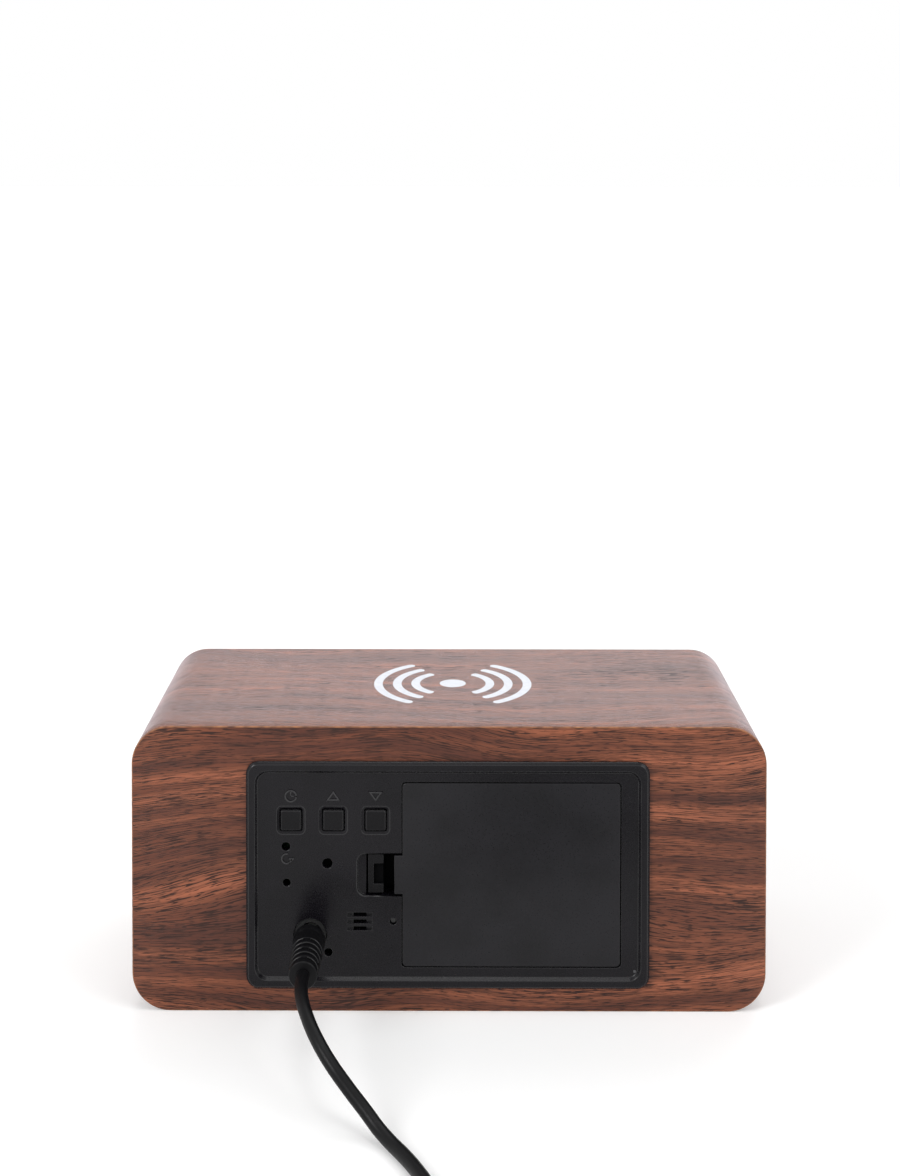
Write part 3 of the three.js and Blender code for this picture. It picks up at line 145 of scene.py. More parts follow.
# %% Rays that see the white
def straight_rays(tree):
    """1 for rays from the camera, a mirror or glass, and 0 for light that spreads from a matt surface."""
    ray = add_node(tree, "ShaderNodeLightPath").outputs
    seen = add_node(tree, "ShaderNodeMath", {"operation": "MAXIMUM"},
                    i0=ray["Is Camera Ray"], i1=ray["Is Transmission Ray"])
    return add_node(tree, "ShaderNodeMath", {"operation": "MAXIMUM"},
                    i0=seen.outputs[0], i1=ray["Is Glossy Ray"]).outputs[0]


# %% Floor
# The white that is added where the paper is seen, and half a side of the sheet in metres
PAPER_LIFT = 0.26
FLOOR_HALF = 20

floor_material, tree, shader = new_material("matt_white_paper")
shader.inputs["Base Color"].default_value = hex_colour("#e6e6e6")
shader.inputs["Roughness"].default_value = 0.9
shader.inputs["Specular IOR Level"].default_value = 0.0
direct = straight_rays(tree)
lift = add_node(tree, "ShaderNodeMath", {"operation": "MULTIPLY"}, i0=direct, i1=PAPER_LIFT)
shader.inputs["Emission Color"].default_value = (1, 1, 1, 1)
tree.links.new(lift.outputs[0], shader.inputs["Emission Strength"])

floor_mesh = bpy.data.meshes.new("floor")
sheet = bmesh.new()
bmesh.ops.create_grid(sheet, x_segments=1, y_segments=1, size=FLOOR_HALF)
sheet.to_mesh(floor_mesh)
sheet.free()
floor_mesh.materials.append(floor_material)
floor = bpy.data.objects.new("floor", floor_mesh)
bpy.context.scene.collection.objects.link(floor)

# %% World and lamps
# The dome's strength as a light, and as a background, where 1 is white
DOME_LIGHT, DOME_SEEN = 0.5, 1.0

world = bpy.data.worlds.new("studio")
bpy.context.scene.world = world
world.use_nodes = True
tree = world.node_tree
tree.nodes.clear()
direct = straight_rays(tree)
strength = add_node(tree, "ShaderNodeMapRange", Value=direct, To_Min=DOME_LIGHT, To_Max=DOME_SEEN)
light = add_node(tree, "ShaderNodeBackground", Color=(1, 1, 1, 1), Strength=strength.outputs["Result"])
add_node(tree, "ShaderNodeOutputWorld", Surface=light.outputs["Background"])


def soft_sun(name, towards, strength, spread):
    """A sun as wide as a softbox: towards is the way to it from the clock, and spread is in degrees."""
    data = bpy.data.lights.new(name, "SUN")
    data.energy = strength
    data.angle = math.radians(spread)
    lamp = bpy.data.objects.new(name, data)
    lamp.rotation_euler = Vector(towards).to_track_quat("Z", "Y").to_euler()
    bpy.context.scene.collection.objects.link(lamp)


soft_sun("softbox_left", (1.0, 0.8, 0.9), 1.35, 25)
soft_sun("softbox_above", (0.0, 0.1, 1.2), 0.36, 18)
soft_sun("softbox_right", (-1.2, 0.7, 1.0), 0.75, 35)
soft_sun("softbox_back", (-0.2, -1.0, 1.1), 0.9, 50)
bpy.context.scene.view_settings.view_transform = "Standard"

# %% [markdown]
# ## How a finished mesh becomes a piece
# A bmesh is only numbers until it is written to an object. This helper does that once for every piece: it
# writes the mesh, gives it its finishes, shades it smooth up to a chosen angle and lets it ride on a body
# of the clock.


# %% From bmesh to piece
def finish_piece(name, shape, materials, body, smooth_angle=40):
    """Write a bmesh to a new object at the origin that rides on a body."""
    mesh = bpy.data.meshes.new(name)
    shape.to_mesh(mesh)
    shape.free()
    for material in materials:
        mesh.materials.append(material)
    piece = bpy.data.objects.new(name, mesh)
    bpy.context.scene.collection.objects.link(piece)
    mesh.shade_smooth()
    mesh.set_sharp_from_angle(angle=math.radians(smooth_angle))
    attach(piece, body)
    return piece


# Points nearer to each other than this are one point
SAME_PLACE = mm(0.001)


def made_verts(result):
    """The vertices in what an operator made."""
    return [g for g in result["geom"] if isinstance(g, bmesh.types.BMVert)]


def tidy_normals(shape):
    """Merge doubles and turn every face outwards."""
    bmesh.ops.remove_doubles(shape, verts=shape.verts, dist=SAME_PLACE)
    bmesh.ops.recalc_face_normals(shape, faces=shape.faces)


# %% [markdown]
# ## The power cord
# The lead is a 3 mm soft vinyl cord. It leaves the plug straight, bends down under its own weight, runs out
# over the table and lies in a tied coil outside the picture. A curve with a round bevel is the natural way
# to make a cord: its centreline is the route, and its length can be measured. The route repeats the points
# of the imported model.

# %% Route of the cord
CORD_RADIUS = mm(1.5)
free_route = [
    (32.8, 53.6, 18.4), (32.8, 58, 18.35), (32.2, 63.5, 17.8), (30.6, 69.3, 16.6), (28, 75, 14.4),
    (24.7, 79.3, 11.4), (20.9, 82.4, 7.9), (17, 85.5, 4.6), (14.6, 88, 2.8), (12, 91.3, 1.8),
    (9.3, 95.5, 1.6), (6.4, 101, 1.6), (3.6, 108, 1.7), (1.5, 117, 2), (0.5, 126, 2.3),
    (0.2, 135, 2.4), (0.2, 138, 2.4),
]
far_route = [(-34, 167.1, 3.8), (-37.3, 167.1, 3.8)]
COIL_CENTRE = (-25.0, 141.0)
COIL_OUTER = 25.2
COIL_LOW = 2.4
TURN_PITCH = 3.6
LAYER_TURNS = 4
TURNS = 8.25
STEPS_PER_TURN = 24


def coil_point(step):
    """A point of the coil: in along the lower layer, up, and out along the upper one."""
    turn = step / STEPS_PER_TURN
    radius = COIL_OUTER - TURN_PITCH * min(turn, 2 * LAYER_TURNS - turn)
    climb = min(max((turn - LAYER_TURNS) * 2 + 0.5, 0), 1)
    angle = 2 * math.pi * turn
    return (COIL_CENTRE[0] + radius * math.cos(angle), COIL_CENTRE[1] + radius * math.sin(angle),
            COIL_LOW + TURN_PITCH * climb)


coil_route = [coil_point(step) for step in range(int(TURNS * STEPS_PER_TURN) + 1)]
cord_points = free_route + coil_route + far_route

# %% Cord as a curve
cord_curve = bpy.data.curves.new("power_cord", "CURVE")
cord_curve.dimensions = "3D"
cord_curve.bevel_depth = CORD_RADIUS
cord_curve.bevel_resolution = 4
cord_curve.resolution_u = 5
cord_curve.use_fill_caps = True
spline = cord_curve.splines.new("BEZIER")
spline.bezier_points.add(len(cord_points) - 1)
for knot, place in zip(spline.bezier_points, cord_points):
    knot.co = mm(*place)
    knot.handle_left_type = knot.handle_right_type = "AUTO"
cord = bpy.data.objects.new("power_cord", cord_curve)
bpy.context.scene.collection.objects.link(cord)

# %% [markdown]
# ## Walnut foil
# The case is fibreboard wrapped in a printed and embossed foil: walnut pictured at real size under a satin
# lacquer. To the eye it is broad bands of tan and brown a few millimetres wide, finer streaks inside them,
# and dark pores as thin dashes. Every layer is one noise stretched along the grain, so a helper takes the
# real length and width in millimetres. The foil follows the case round its corners, so it reads a UV map
# measured along the wrap.


# %% Foil material
def stretched_noise(tree, place, length, width, detail, offset):
    """Noise whose blotches are length by width millimetres, along u and v of a place in metres."""
    mapped = add_node(tree, "ShaderNodeMapping", Vector=place, Location=(*offset, 0),
                      Scale=(1000 / length, 1000 / width, 1))
    noise = add_node(tree, "ShaderNodeTexNoise", Vector=mapped.outputs["Vector"], Scale=1.0, Detail=detail,
                     Roughness=0.55)
    return noise.outputs["Fac"]


def mix_colour(tree, factor, first, second):
    """Mix two colours. The node mixes numbers and vectors too, so the inputs for colours go by number."""
    return add_node(tree, "ShaderNodeMix", {"data_type": "RGBA"}, i0=factor, i6=first, i7=second).outputs[2]


def between(tree, value, low, high):
    """A value spread from low..high to 0..1 and clamped."""
    return add_node(tree, "ShaderNodeMapRange", Value=value, From_Min=low, From_Max=high).outputs["Result"]


# The print's layers in millimetres, as length along the grain and width across it
SWAY, SWAY_REACH = (100, 48), 34
BAND_LENGTH = 120
STREAK = (24, 0.6)
PORE_CROWD = (45, 4.0)
DASH = (8.0, 0.24)
FLECK = (3.2, 0.21)
PORE_DEPTH = 0.05


def walnut_foil(name, offset, band_width, calm, sheen):
    """Printed walnut foil, satin lacquered. It reads the UV map grain, in metres, with u along the grain."""
    material, tree, shader = new_material(name)
    grain = add_node(tree, "ShaderNodeUVMap", {"uv_map": "grain"}).outputs["UV"]
    # The lines wander, because one broad noise moves the place where all the others are read
    sway = stretched_noise(tree, grain, *SWAY, detail=1.0, offset=offset)
    lean = add_node(tree, "ShaderNodeMath", {"operation": "MULTIPLY_ADD"},
                    i0=sway, i1=mm(SWAY_REACH), i2=mm(-SWAY_REACH / 2))
    shift = add_node(tree, "ShaderNodeCombineXYZ", Y=lean.outputs[0])
    place = add_node(tree, "ShaderNodeVectorMath", {"operation": "ADD"},
                     i0=grain, i1=shift.outputs[0]).outputs[0]

    bands = stretched_noise(tree, place, BAND_LENGTH, band_width, detail=2.5, offset=offset)
    colour = ramp_between(tree, bands, [
        (0.38 - calm, "#5c2f20"), (0.46 - calm / 2, "#77412b"), (0.53 + calm / 2, "#8c5036"),
        (0.62 + calm, "#aa6345")])
    streaks = stretched_noise(tree, place, *STREAK, detail=2.5, offset=offset)
    streak = add_node(tree, "ShaderNodeMapRange", Value=streaks, From_Min=0.42, From_Max=0.68, To_Max=0.66)
    colour = mix_colour(tree, streak.outputs["Result"], colour, hex_colour("#482619"))

    # A pore is where either noise peaks, and where pores crowd a lower peak is enough
    crowd = stretched_noise(tree, place, *PORE_CROWD, detail=1.0, offset=(offset[1], offset[0]))
    dashes = stretched_noise(tree, place, *DASH, detail=1.0, offset=offset)
    flecks = stretched_noise(tree, place, *FLECK, detail=1.0, offset=(offset[1], offset[1]))
    fine = add_node(tree, "ShaderNodeMath", {"operation": "MULTIPLY"}, i0=flecks, i1=0.97)
    pores = add_node(tree, "ShaderNodeMath", {"operation": "MAXIMUM"}, i0=dashes, i1=fine.outputs[0])
    limit = add_node(tree, "ShaderNodeMath", {"operation": "MULTIPLY_ADD"}, i0=crowd, i1=-0.2, i2=0.655)
    depth = add_node(tree, "ShaderNodeMath", {"operation": "SUBTRACT"},
                     i0=pores.outputs[0], i1=limit.outputs[0])
    pore = between(tree, depth.outputs[0], 0.0, 0.055)
    colour = mix_colour(tree, pore, colour, hex_colour("#30180f"))
    tree.links.new(colour, shader.inputs["Base Color"])

    matt = add_node(tree, "ShaderNodeMapRange", Value=pore, To_Min=0.36, To_Max=0.6)
    tree.links.new(matt.outputs["Result"], shader.inputs["Roughness"])
    sunk = add_node(tree, "ShaderNodeMath", {"operation": "MULTIPLY"}, i0=pore, i1=-1.0)
    relief = add_node(tree, "ShaderNodeBump", Height=sunk.outputs[0], Distance=mm(PORE_DEPTH), Strength=0.5)
    tree.links.new(relief.outputs["Normal"], shader.inputs["Normal"])
    shader.inputs["IOR"].default_value = 1.5
    shader.inputs["Specular IOR Level"].default_value = 0.36
    # The lacquer's haze, which pales the foil where it is seen at a slant
    shader.inputs["Sheen Weight"].default_value = sheen
    shader.inputs["Sheen Tint"].default_value = hex_colour("#fff4fb")
    shader.inputs["Sheen Roughness"].default_value = 0.28
    return material


face_foil = walnut_foil("walnut_foil_face", (1.3, 4.2), 6.5, calm=0.0, sheen=0.3)
wrap_foil = walnut_foil("walnut_foil_wrap", (7.1, 2.6), 5.0, calm=0.09, sheen=1.0)

# %% [markdown]
# ## Cut foil and raw fibreboard
# Where the foil ends at the rear face, its cut edge shows the paper core as a thin orange brown line. Where
# no foil covers it, the case shows brown pressed fibre: matt, fine and a little speckled. Wood fibres in
# such board are about 0.3 mm across, and they are drawn at 0.7 mm, because finer ones would vanish in the
# picture. Both finishes are specks of one size in two colours, so one helper makes them, and later a few
# other matt materials too.


# %% Speckled materials
def speckled(name, size, stops, roughness, detail=2.0, relief=0.0, specular=0.5):
    """A matt material in specks of a size in millimetres, coloured by a ramp and raised by relief."""
    material, tree, shader = new_material(name)
    place = add_node(tree, "ShaderNodeTexCoord").outputs["Object"]
    noise = add_node(tree, "ShaderNodeTexNoise", Vector=place, Scale=1 / mm(size), Detail=detail)
    specks = noise.outputs["Fac"]
    tree.links.new(ramp_between(tree, specks, stops), shader.inputs["Base Color"])
    shader.inputs["Roughness"].default_value = roughness
    shader.inputs["Specular IOR Level"].default_value = specular
    if relief:
        bump = add_node(tree, "ShaderNodeBump", Height=specks, Distance=mm(relief), Strength=0.4)
        tree.links.new(bump.outputs["Normal"], shader.inputs["Normal"])
    return material


foil_edge = speckled("cut_foil_edge", 2.5, [(0.35, "#5d3826"), (0.65, "#a36b45")], 0.6, detail=3.0)
fibreboard = speckled("pressed_fibreboard", 0.7, [(0.35, "#7d5f43"), (0.65, "#a88866")], 0.95,
                      detail=3.0, relief=0.1)

# %% [markdown]
# ## The case
# A sleeve of four mitred walls with a board at each end makes the case. Each part is a rounded box with a
# rounded opening through it: a cube whose long edges are bevelled gives the outer rim, a second one the
# inner rim, the flat between them is filled, and extruding that gives the wall. The foil's UV map unrolls
# the outside, so the grain runs round the corners without a break.

# %% Case shapes
CASE_WIDTH, CASE_HEIGHT, CASE_CORNER = mm(150), mm(68), mm(9.1)
CORNER_STEPS = 14


def rounded_bar(width, height, radius, centre_x, centre_z, y0, y1):
    """A bmesh bar along Y with a rounded rectangular section, in metres."""
    shape = bmesh.new()
    bmesh.ops.create_cube(shape, size=1)
    bmesh.ops.scale(shape, verts=shape.verts, vec=(width, y1 - y0, height))
    bmesh.ops.translate(shape, verts=shape.verts, vec=(centre_x, (y0 + y1) / 2, centre_z))
    long_edges = [e for e in shape.edges if abs(e.verts[0].co.y - e.verts[1].co.y) > (y1 - y0) / 2]
    bmesh.ops.bevel(shape, geom=long_edges, offset=radius, offset_type="OFFSET", affect="EDGES",
                    segments=CORNER_STEPS, profile=0.5, material=-1, clamp_overlap=False)
    return shape


def only_ring(shape, y):
    """Keep only the edges of a bar's rim at y, as one closed loop."""
    away = [v for v in shape.verts if abs(v.co.y - y) > SAME_PLACE]
    bmesh.ops.delete(shape, geom=away, context="VERTS")
    bmesh.ops.delete(shape, geom=shape.faces[:], context="FACES_ONLY")
    return shape


def join_shapes(*shapes):
    """One bmesh out of several."""
    whole = shapes[0]
    for other in shapes[1:]:
        carrier = bpy.data.meshes.new("carrier")
        other.to_mesh(carrier)
        other.free()
        whole.from_mesh(carrier)
        bpy.data.meshes.remove(carrier)
    return whole


def framed_bar(outer, inner, y0, y1):
    """A bar along Y with an opening; outer and inner are (width, height, radius, x, z) in metres."""
    shape = join_shapes(*[only_ring(rounded_bar(*section, y0, y1), y0) for section in (outer, inner)])
    bmesh.ops.triangle_fill(shape, edges=shape.edges[:], use_beauty=True, use_dissolve=False)
    made = bmesh.ops.extrude_face_region(shape, geom=shape.faces[:], use_keep_orig=True)
    bmesh.ops.translate(shape, verts=made_verts(made), vec=(0, y1 - y0, 0))
    tidy_normals(shape)
    return shape


# %% The outer wall and its rim
def on_outside(place):
    """Whether a place is within half a millimetre of the case's outer wall."""
    reach_x = abs(place.x) - (CASE_WIDTH / 2 - CASE_CORNER)
    reach_z = abs(place.z - CASE_HEIGHT / 2) - (CASE_HEIGHT / 2 - CASE_CORNER)
    in_corner = reach_x > 0 and reach_z > 0
    reach = math.hypot(reach_x, reach_z) if in_corner else max(reach_x, reach_z)
    return reach > CASE_CORNER - mm(0.5)


def soften_rim(shape, y, width):
    """A small round on the outer edge of the case where it meets the face at y."""
    rim = []
    for edge in shape.edges:
        middle = (edge.verts[0].co + edge.verts[1].co) / 2
        outside = any(abs(f.normal.y) < 0.5 for f in edge.link_faces) and on_outside(middle)
        if outside and all(abs(v.co.y - y) < SAME_PLACE for v in edge.verts):
            rim.append(edge)
    made = bmesh.ops.bevel(shape, geom=rim, offset=width, offset_type="OFFSET", affect="EDGES", segments=2,
                           profile=0.5, material=-1)
    return made["faces"]


# %% UV map along the wrap
def wrap_distance(x, z):
    """Distance round the outside of the case, from the middle of its base, in metres."""
    flat_x, flat_z = CASE_WIDTH / 2 - CASE_CORNER, CASE_HEIGHT - 2 * CASE_CORNER
    arc = math.pi / 2 * CASE_CORNER
    top_z = CASE_HEIGHT - CASE_CORNER
    if abs(x) <= flat_x:
        return x if z < CASE_HEIGHT / 2 else flat_x + 2 * arc + flat_z + (flat_x - x)
    out = abs(x) - flat_x
    if z < CASE_CORNER:
        half = flat_x + CASE_CORNER * math.atan2(out, CASE_CORNER - z)
    elif z <= top_z:
        half = flat_x + arc + z - CASE_CORNER
    else:
        half = flat_x + arc + flat_z + CASE_CORNER * math.atan2(z - top_z, out)
    return half if x > 0 else 4 * flat_x + 4 * arc + 2 * flat_z - half


# A face looks to the front or the back if its normal has more than this along Y
END_FACING = 0.8


def unroll(shape, edge_faces):
    """Map the grain. The outer wall gets the wrap foil, both ends the face foil, the rest fibreboard.

    The edge faces get the cut edge of the foil.
    """
    layer = shape.loops.layers.uv.new("grain")
    for face in shape.faces:
        middle = face.calc_center_median()
        if on_outside(middle) and abs(face.normal.y) < END_FACING:
            face.material_index = 1
            centre = wrap_distance(middle.x, middle.z)
            for loop in face.loops:
                u = wrap_distance(loop.vert.co.x, loop.vert.co.z)
                # At the seam under the base the distance jumps from a full round back to zero
                if abs(u - centre) > CASE_WIDTH:
                    u = loop.vert.co.x
                loop[layer].uv = (u, loop.vert.co.y)
        else:
            face.material_index = 0 if abs(face.normal.y) > END_FACING else 2
            for loop in face.loops:
                loop[layer].uv = (loop.vert.co.x, loop.vert.co.z)
    for face in edge_faces:
        face.material_index = 3


# %% Build the case
outer = (CASE_WIDTH, CASE_HEIGHT, CASE_CORNER, 0, CASE_HEIGHT / 2)
# Where the parts meet along Y, from the front, and the rounds of the outermost edges, all in millimetres
FILM_FACE, FILM_BACK, SLEEVE_FRONT, SLEEVE_BACK, REAR_FACE = -33.95, -33.55, -28.95, 27.75, 32.75
REAR_ROUND, FILM_ROUND = 0.3, 0.2
# Each part's opening as (width, height, radius, x, z), and its two ends
case_parts = {
    "case_sleeve": ((mm(140), mm(58), mm(4.1), 0, mm(34)), SLEEVE_FRONT, SLEEVE_BACK),
    "rear_board": ((mm(91), mm(49.8), mm(3), mm(0.25), mm(32.8)), SLEEVE_BACK, REAR_FACE),
    "front_board": ((mm(116), mm(34), mm(2), 0, mm(34)), FILM_BACK, SLEEVE_FRONT),
}

case_finishes = [face_foil, wrap_foil, fibreboard, foil_edge]
for node, (inner, y0, y1) in case_parts.items():
    shape = framed_bar(outer, inner, mm(y0), mm(y1))
    cut_faces = soften_rim(shape, mm(y1), mm(REAR_ROUND)) if node == "rear_board" else []
    unroll(shape, cut_faces)
    wall = finish_piece(node + "_wrapped", shape, case_finishes, "clock")
    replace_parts(wall, node)

film = rounded_bar(*outer, mm(FILM_FACE), mm(FILM_BACK))
unroll(film, soften_rim(film, mm(FILM_FACE), mm(FILM_ROUND)))
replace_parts(finish_piece("front_foil", film, case_finishes, "clock"), "front_film")

# %% [markdown]
# ## Moulded plastics
# The panel, door and caps are injection moulded ABS. The mould is spark eroded, which leaves a fine even
# grain of about 0.1 mm on the satin faces; the caps are smoother. At this image size the grain only breaks
# up the reflections, so it is drawn at 0.25 mm and very low. A faint cloudiness keeps the black from
# looking painted.


# %% Plastic material
CLOUD_SIZE = 9
SHEEN_SWING = 0.06
MOULD_DEPTH = 0.02


def moulded_plastic(name, code, roughness, grit=0.25, relief=0.15, specular=0.5):
    """Injection moulded ABS with a spark eroded texture; grit is its grain in millimetres."""
    material, tree, shader = new_material(name)
    place = add_node(tree, "ShaderNodeTexCoord").outputs["Object"]
    cloud = add_node(tree, "ShaderNodeTexNoise", Vector=place, Scale=1 / mm(CLOUD_SIZE), Detail=2.0)
    base = hex_colour(code)[:3]
    paler = [min(1, c * 1.25 + 0.001) for c in base] + [1]
    darker = [c * 0.8 for c in base] + [1]
    colour = mix_colour(tree, between(tree, cloud.outputs["Fac"], 0.3, 0.7), darker, paler)
    tree.links.new(colour, shader.inputs["Base Color"])
    grain = add_node(tree, "ShaderNodeTexNoise", Vector=place, Scale=1 / mm(grit), Detail=2.0).outputs["Fac"]
    sheen = add_node(tree, "ShaderNodeMapRange", Value=grain, From_Min=0.3, From_Max=0.7,
                     To_Min=roughness - SHEEN_SWING, To_Max=roughness + SHEEN_SWING)
    tree.links.new(sheen.outputs["Result"], shader.inputs["Roughness"])
    bump = add_node(tree, "ShaderNodeBump", Height=grain, Distance=mm(MOULD_DEPTH), Strength=relief)
    tree.links.new(bump.outputs["Normal"], shader.inputs["Normal"])
    shader.inputs["Specular IOR Level"].default_value = specular
    shader.inputs["IOR"].default_value = 1.53
    return material


# %% The plastics
panel_abs = moulded_plastic("satin_black_abs", "#0d0b10", 0.26, specular=0.2)
door_abs = moulded_plastic("satin_black_abs_door", "#131216", 0.32, specular=0.26)
cap_abs = moulded_plastic("smooth_black_abs", "#0a090c", 0.24, relief=0.08, specular=0.15)
sign_abs = moulded_plastic("polished_black_abs_signs", "#131216", 0.2, relief=0.0, specular=0.5)
cord_vinyl = moulded_plastic("matt_black_vinyl", "#08080a", 0.4, grit=0.4, relief=0.2, specular=0.15)
# Rounded edges lose the mould's grain, so they shine. Deep in the latch's recess a rougher, darker black
# paints the shade there
edge_abs = moulded_plastic("polished_black_abs_edges", "#0d0c10", 0.18, relief=0.0, specular=0.45)
recess_shade_abs = moulded_plastic("rough_black_abs", "#040405", 0.8, specular=0.05)
rubbed_vinyl = moulded_plastic("rubbed_black_vinyl", "#0c0c0e", 0.3, relief=0.0, specular=0.35)
# The sensor's bead is dipped in epoxy, which sets with a gloss
sensor_epoxy = moulded_plastic("glossy_black_epoxy", "#0a0a0b", 0.16, relief=0.02)
# Parts that nobody sees are left dull, and the reflector is white to throw its light forward
dull_abs = moulded_plastic("dull_black_abs", "#161617", 0.6, specular=0.3)
white_abs = moulded_plastic("white_reflector_abs", "#e4e4e0", 0.55, relief=0.1)
grey_vinyl = moulded_plastic("grey_cable_vinyl", "#86898c", 0.55, grit=0.4)
cord_curve.materials.append(cord_vinyl)

# %% [markdown]
# ## Softened copies
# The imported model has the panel's exact shape, with knife edges. A real moulding has none: each edge is
# rounded by 0.05 to 0.3 mm, and that round is what catches the light: the mould's grain fades there, so it
# is also shinier. The node's mesh is loose triangles, so a copy is merged first and flat faces are made
# whole. Then every sharp edge gets a small bevel with the shinier finish, and the copy stands for the node.


# %% Round some edges
def sharp_edges(shape, angle):
    """Edges whose two faces meet at more than an angle in degrees."""
    return [e for e in shape.edges if e.calc_face_angle(0) > math.radians(angle)]


def bevelled(shape, edges, width, segments, clamp):
    """Round some edges to a width in millimetres and return the new faces."""
    return bmesh.ops.bevel(shape, geom=edges, offset=mm(width), offset_type="OFFSET", affect="EDGES",
                           segments=segments, profile=0.5, material=-1, clamp_overlap=clamp)["faces"]


# %% Soften a node
# The panel's field is the flat face that carries the buttons, and this is its y
FIELD_FACE = mm(33.15)
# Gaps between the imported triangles, and the bend below which two of them are one flat face, in degrees
MERGE_GAP = mm(0.002)
FLAT_ANGLE = 0.6
NO_LIMIT = -1000


def in_field_box(vert, x0, x1, z0, z1):
    """Whether a vertex is on the panel's field, inside a range of x and of z in millimetres."""
    at_field = vert.co.y > FIELD_FACE - mm(0.01)
    return at_field and mm(x0) < vert.co.x < mm(x1) and mm(z0) < vert.co.z < mm(z1)


def softened(node, materials, body, width, sharp=28, behind=NO_LIMIT, clamp=True, broad=None):
    """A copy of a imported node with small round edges, which replaces it.

    Edges behind a given y stay sharp. Where broad gives a box on the field and a width, the edges in that box
    get that width instead.
    """
    shape = bmesh.new()
    shape.from_mesh(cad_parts[node].data)
    bmesh.ops.remove_doubles(shape, verts=shape.verts, dist=MERGE_GAP)
    bmesh.ops.dissolve_limit(shape, angle_limit=math.radians(FLAT_ANGLE), verts=shape.verts,
                             edges=shape.edges)
    bmesh.ops.recalc_face_normals(shape, faces=shape.faces)
    wide = []
    if broad:
        box, broad_width = broad
        rim = [e for e in sharp_edges(shape, sharp) if all(in_field_box(v, *box) for v in e.verts)]
        wide = bevelled(shape, rim, broad_width, 4, False)
        print(node, "broad rounds", len(rim), "edges")
    taken = set(wide)
    edges = [e for e in sharp_edges(shape, sharp)
             if min(v.co.y for v in e.verts) > mm(behind) and not taken & set(e.link_faces)]
    length = sum(e.calc_length() for e in edges)
    narrow = bevelled(shape, edges, width, 2, clamp)
    print(node, "rounds are", round(1000 * sum(f.calc_area() for f in narrow) / length, 3), "mm wide")
    for face in shape.faces:
        face.material_index = 0
    for face in [f for f in wide if f.is_valid] + narrow:
        face.material_index = len(materials) - 1
    bmesh.ops.remove_doubles(shape, verts=shape.verts, dist=SAME_PLACE)
    piece = finish_piece(node + "_moulded", shape, materials, body, smooth_angle=50)
    # Large flat faces decide the normals, so they stay flat in the light and only the small rounds bend
    weighted = piece.modifiers.new("weighted_normals", "WEIGHTED_NORMAL")
    weighted.keep_sharp = True
    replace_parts(piece, node)
    print(node, len(piece.data.polygons), "faces")
    return piece


# %% Panel, door, latch and caps
PANEL_ROUND, LATCH_ROUND, CAP_ROUND = 0.1, 0.07, 0.05
PANEL_BACK = 32.2
# The box round the latch's recess as x0, x1, z0, z1, and the broader round of its rim
RECESS_RIM = ((11.1, 21.7, 27.7, 37.9), 0.3)
LATCH_DEEP = 31.8

softened("rear_panel", [panel_abs, edge_abs], "clock", PANEL_ROUND, sharp=17, behind=PANEL_BACK, clamp=False,
         broad=RECESS_RIM)
softened("battery_door", [door_abs, edge_abs], "door", PANEL_ROUND)
latch = softened("door_latch", [cap_abs, edge_abs], "latch", LATCH_ROUND)
# In its notch and deep in the recess the latch gets the rougher, darker black, whose dark colour paints the
# shade there
latch.data.materials.append(recess_shade_abs)
for face in latch.data.polygons:
    if face.center.y < mm(LATCH_DEEP):
        face.material_index = 2
for key in ("set", "up", "down"):
    softened(key + "_button", [cap_abs, edge_abs], key + "_key", CAP_ROUND)

# %% [markdown]
# ## The plug grip
# The grip is soft vinyl moulded over the cord: a smooth shoulder to pull on, then rings of grooves that let
# it bend. The grooves are broken by bridges that alternate between the sides and the top. A profile spun
# round the plug's axis gives the body, and the ring faces that lie in a groove are pushed inwards.

# %% Profile of the grip
PLUG_AXIS = mm(32.8, 0, 18.4)
PLUG_FACE, GRIP_END = 35.4, 54.0
GROOVES, GROOVE_START, GROOVE_PITCH, GROOVE_WIDTH, GROOVE_FLOOR = 5, 42.6, 2.2, 0.85, 2.45
NECK_RADIUS, NECK_TAPER = 3.68, 0.09
LIP_DROP = 0.14
BRIDGE_HALF_ANGLE = 16
LIP_ROUND = 0.1
GRIP_STEPS = 48

# The profile's points are (radius, y): the collar at the plug, the shoulder, the grooves and the end
grip_profile = [
    (0.0, PLUG_FACE), (3.3, PLUG_FACE), (3.65, 35.55), (3.8, 35.95), (3.8, 37.4), (3.72, 37.75), (3.57, 38.1),
    (3.55, 38.6), (3.6, 41.0), (3.62, 42.2),
]
grooves = []
for i in range(GROOVES):
    low = GROOVE_START + i * GROOVE_PITCH
    high = low + GROOVE_WIDTH
    radius = NECK_RADIUS - NECK_TAPER * i
    grooves.append((low, high, i % 2))
    grip_profile += [
        (radius, low - 0.2), (radius - LIP_DROP, low), (radius - LIP_DROP, high),
        (radius - 0.04, high + LIP_DROP), (radius - 0.06, low + GROOVE_PITCH - 0.4),
    ]
grip_profile += [(3.24, 53.5), (3.22, 53.8), (3.06, 53.98), (2.9, GRIP_END), (0.0, GRIP_END)]


# %% Grip
def in_groove(face):
    """Whether a face of the grip lies in a groove, clear of its bridges."""
    middle = face.calc_center_median()
    angle = abs(math.degrees(math.atan2(middle.z, middle.x)))
    for low, high, turned in grooves:
        if mm(low) < middle.y < mm(high):
            from_bridge = min(angle, 180 - angle) if turned else abs(90 - angle)
            return from_bridge > BRIDGE_HALF_ANGLE
    return False


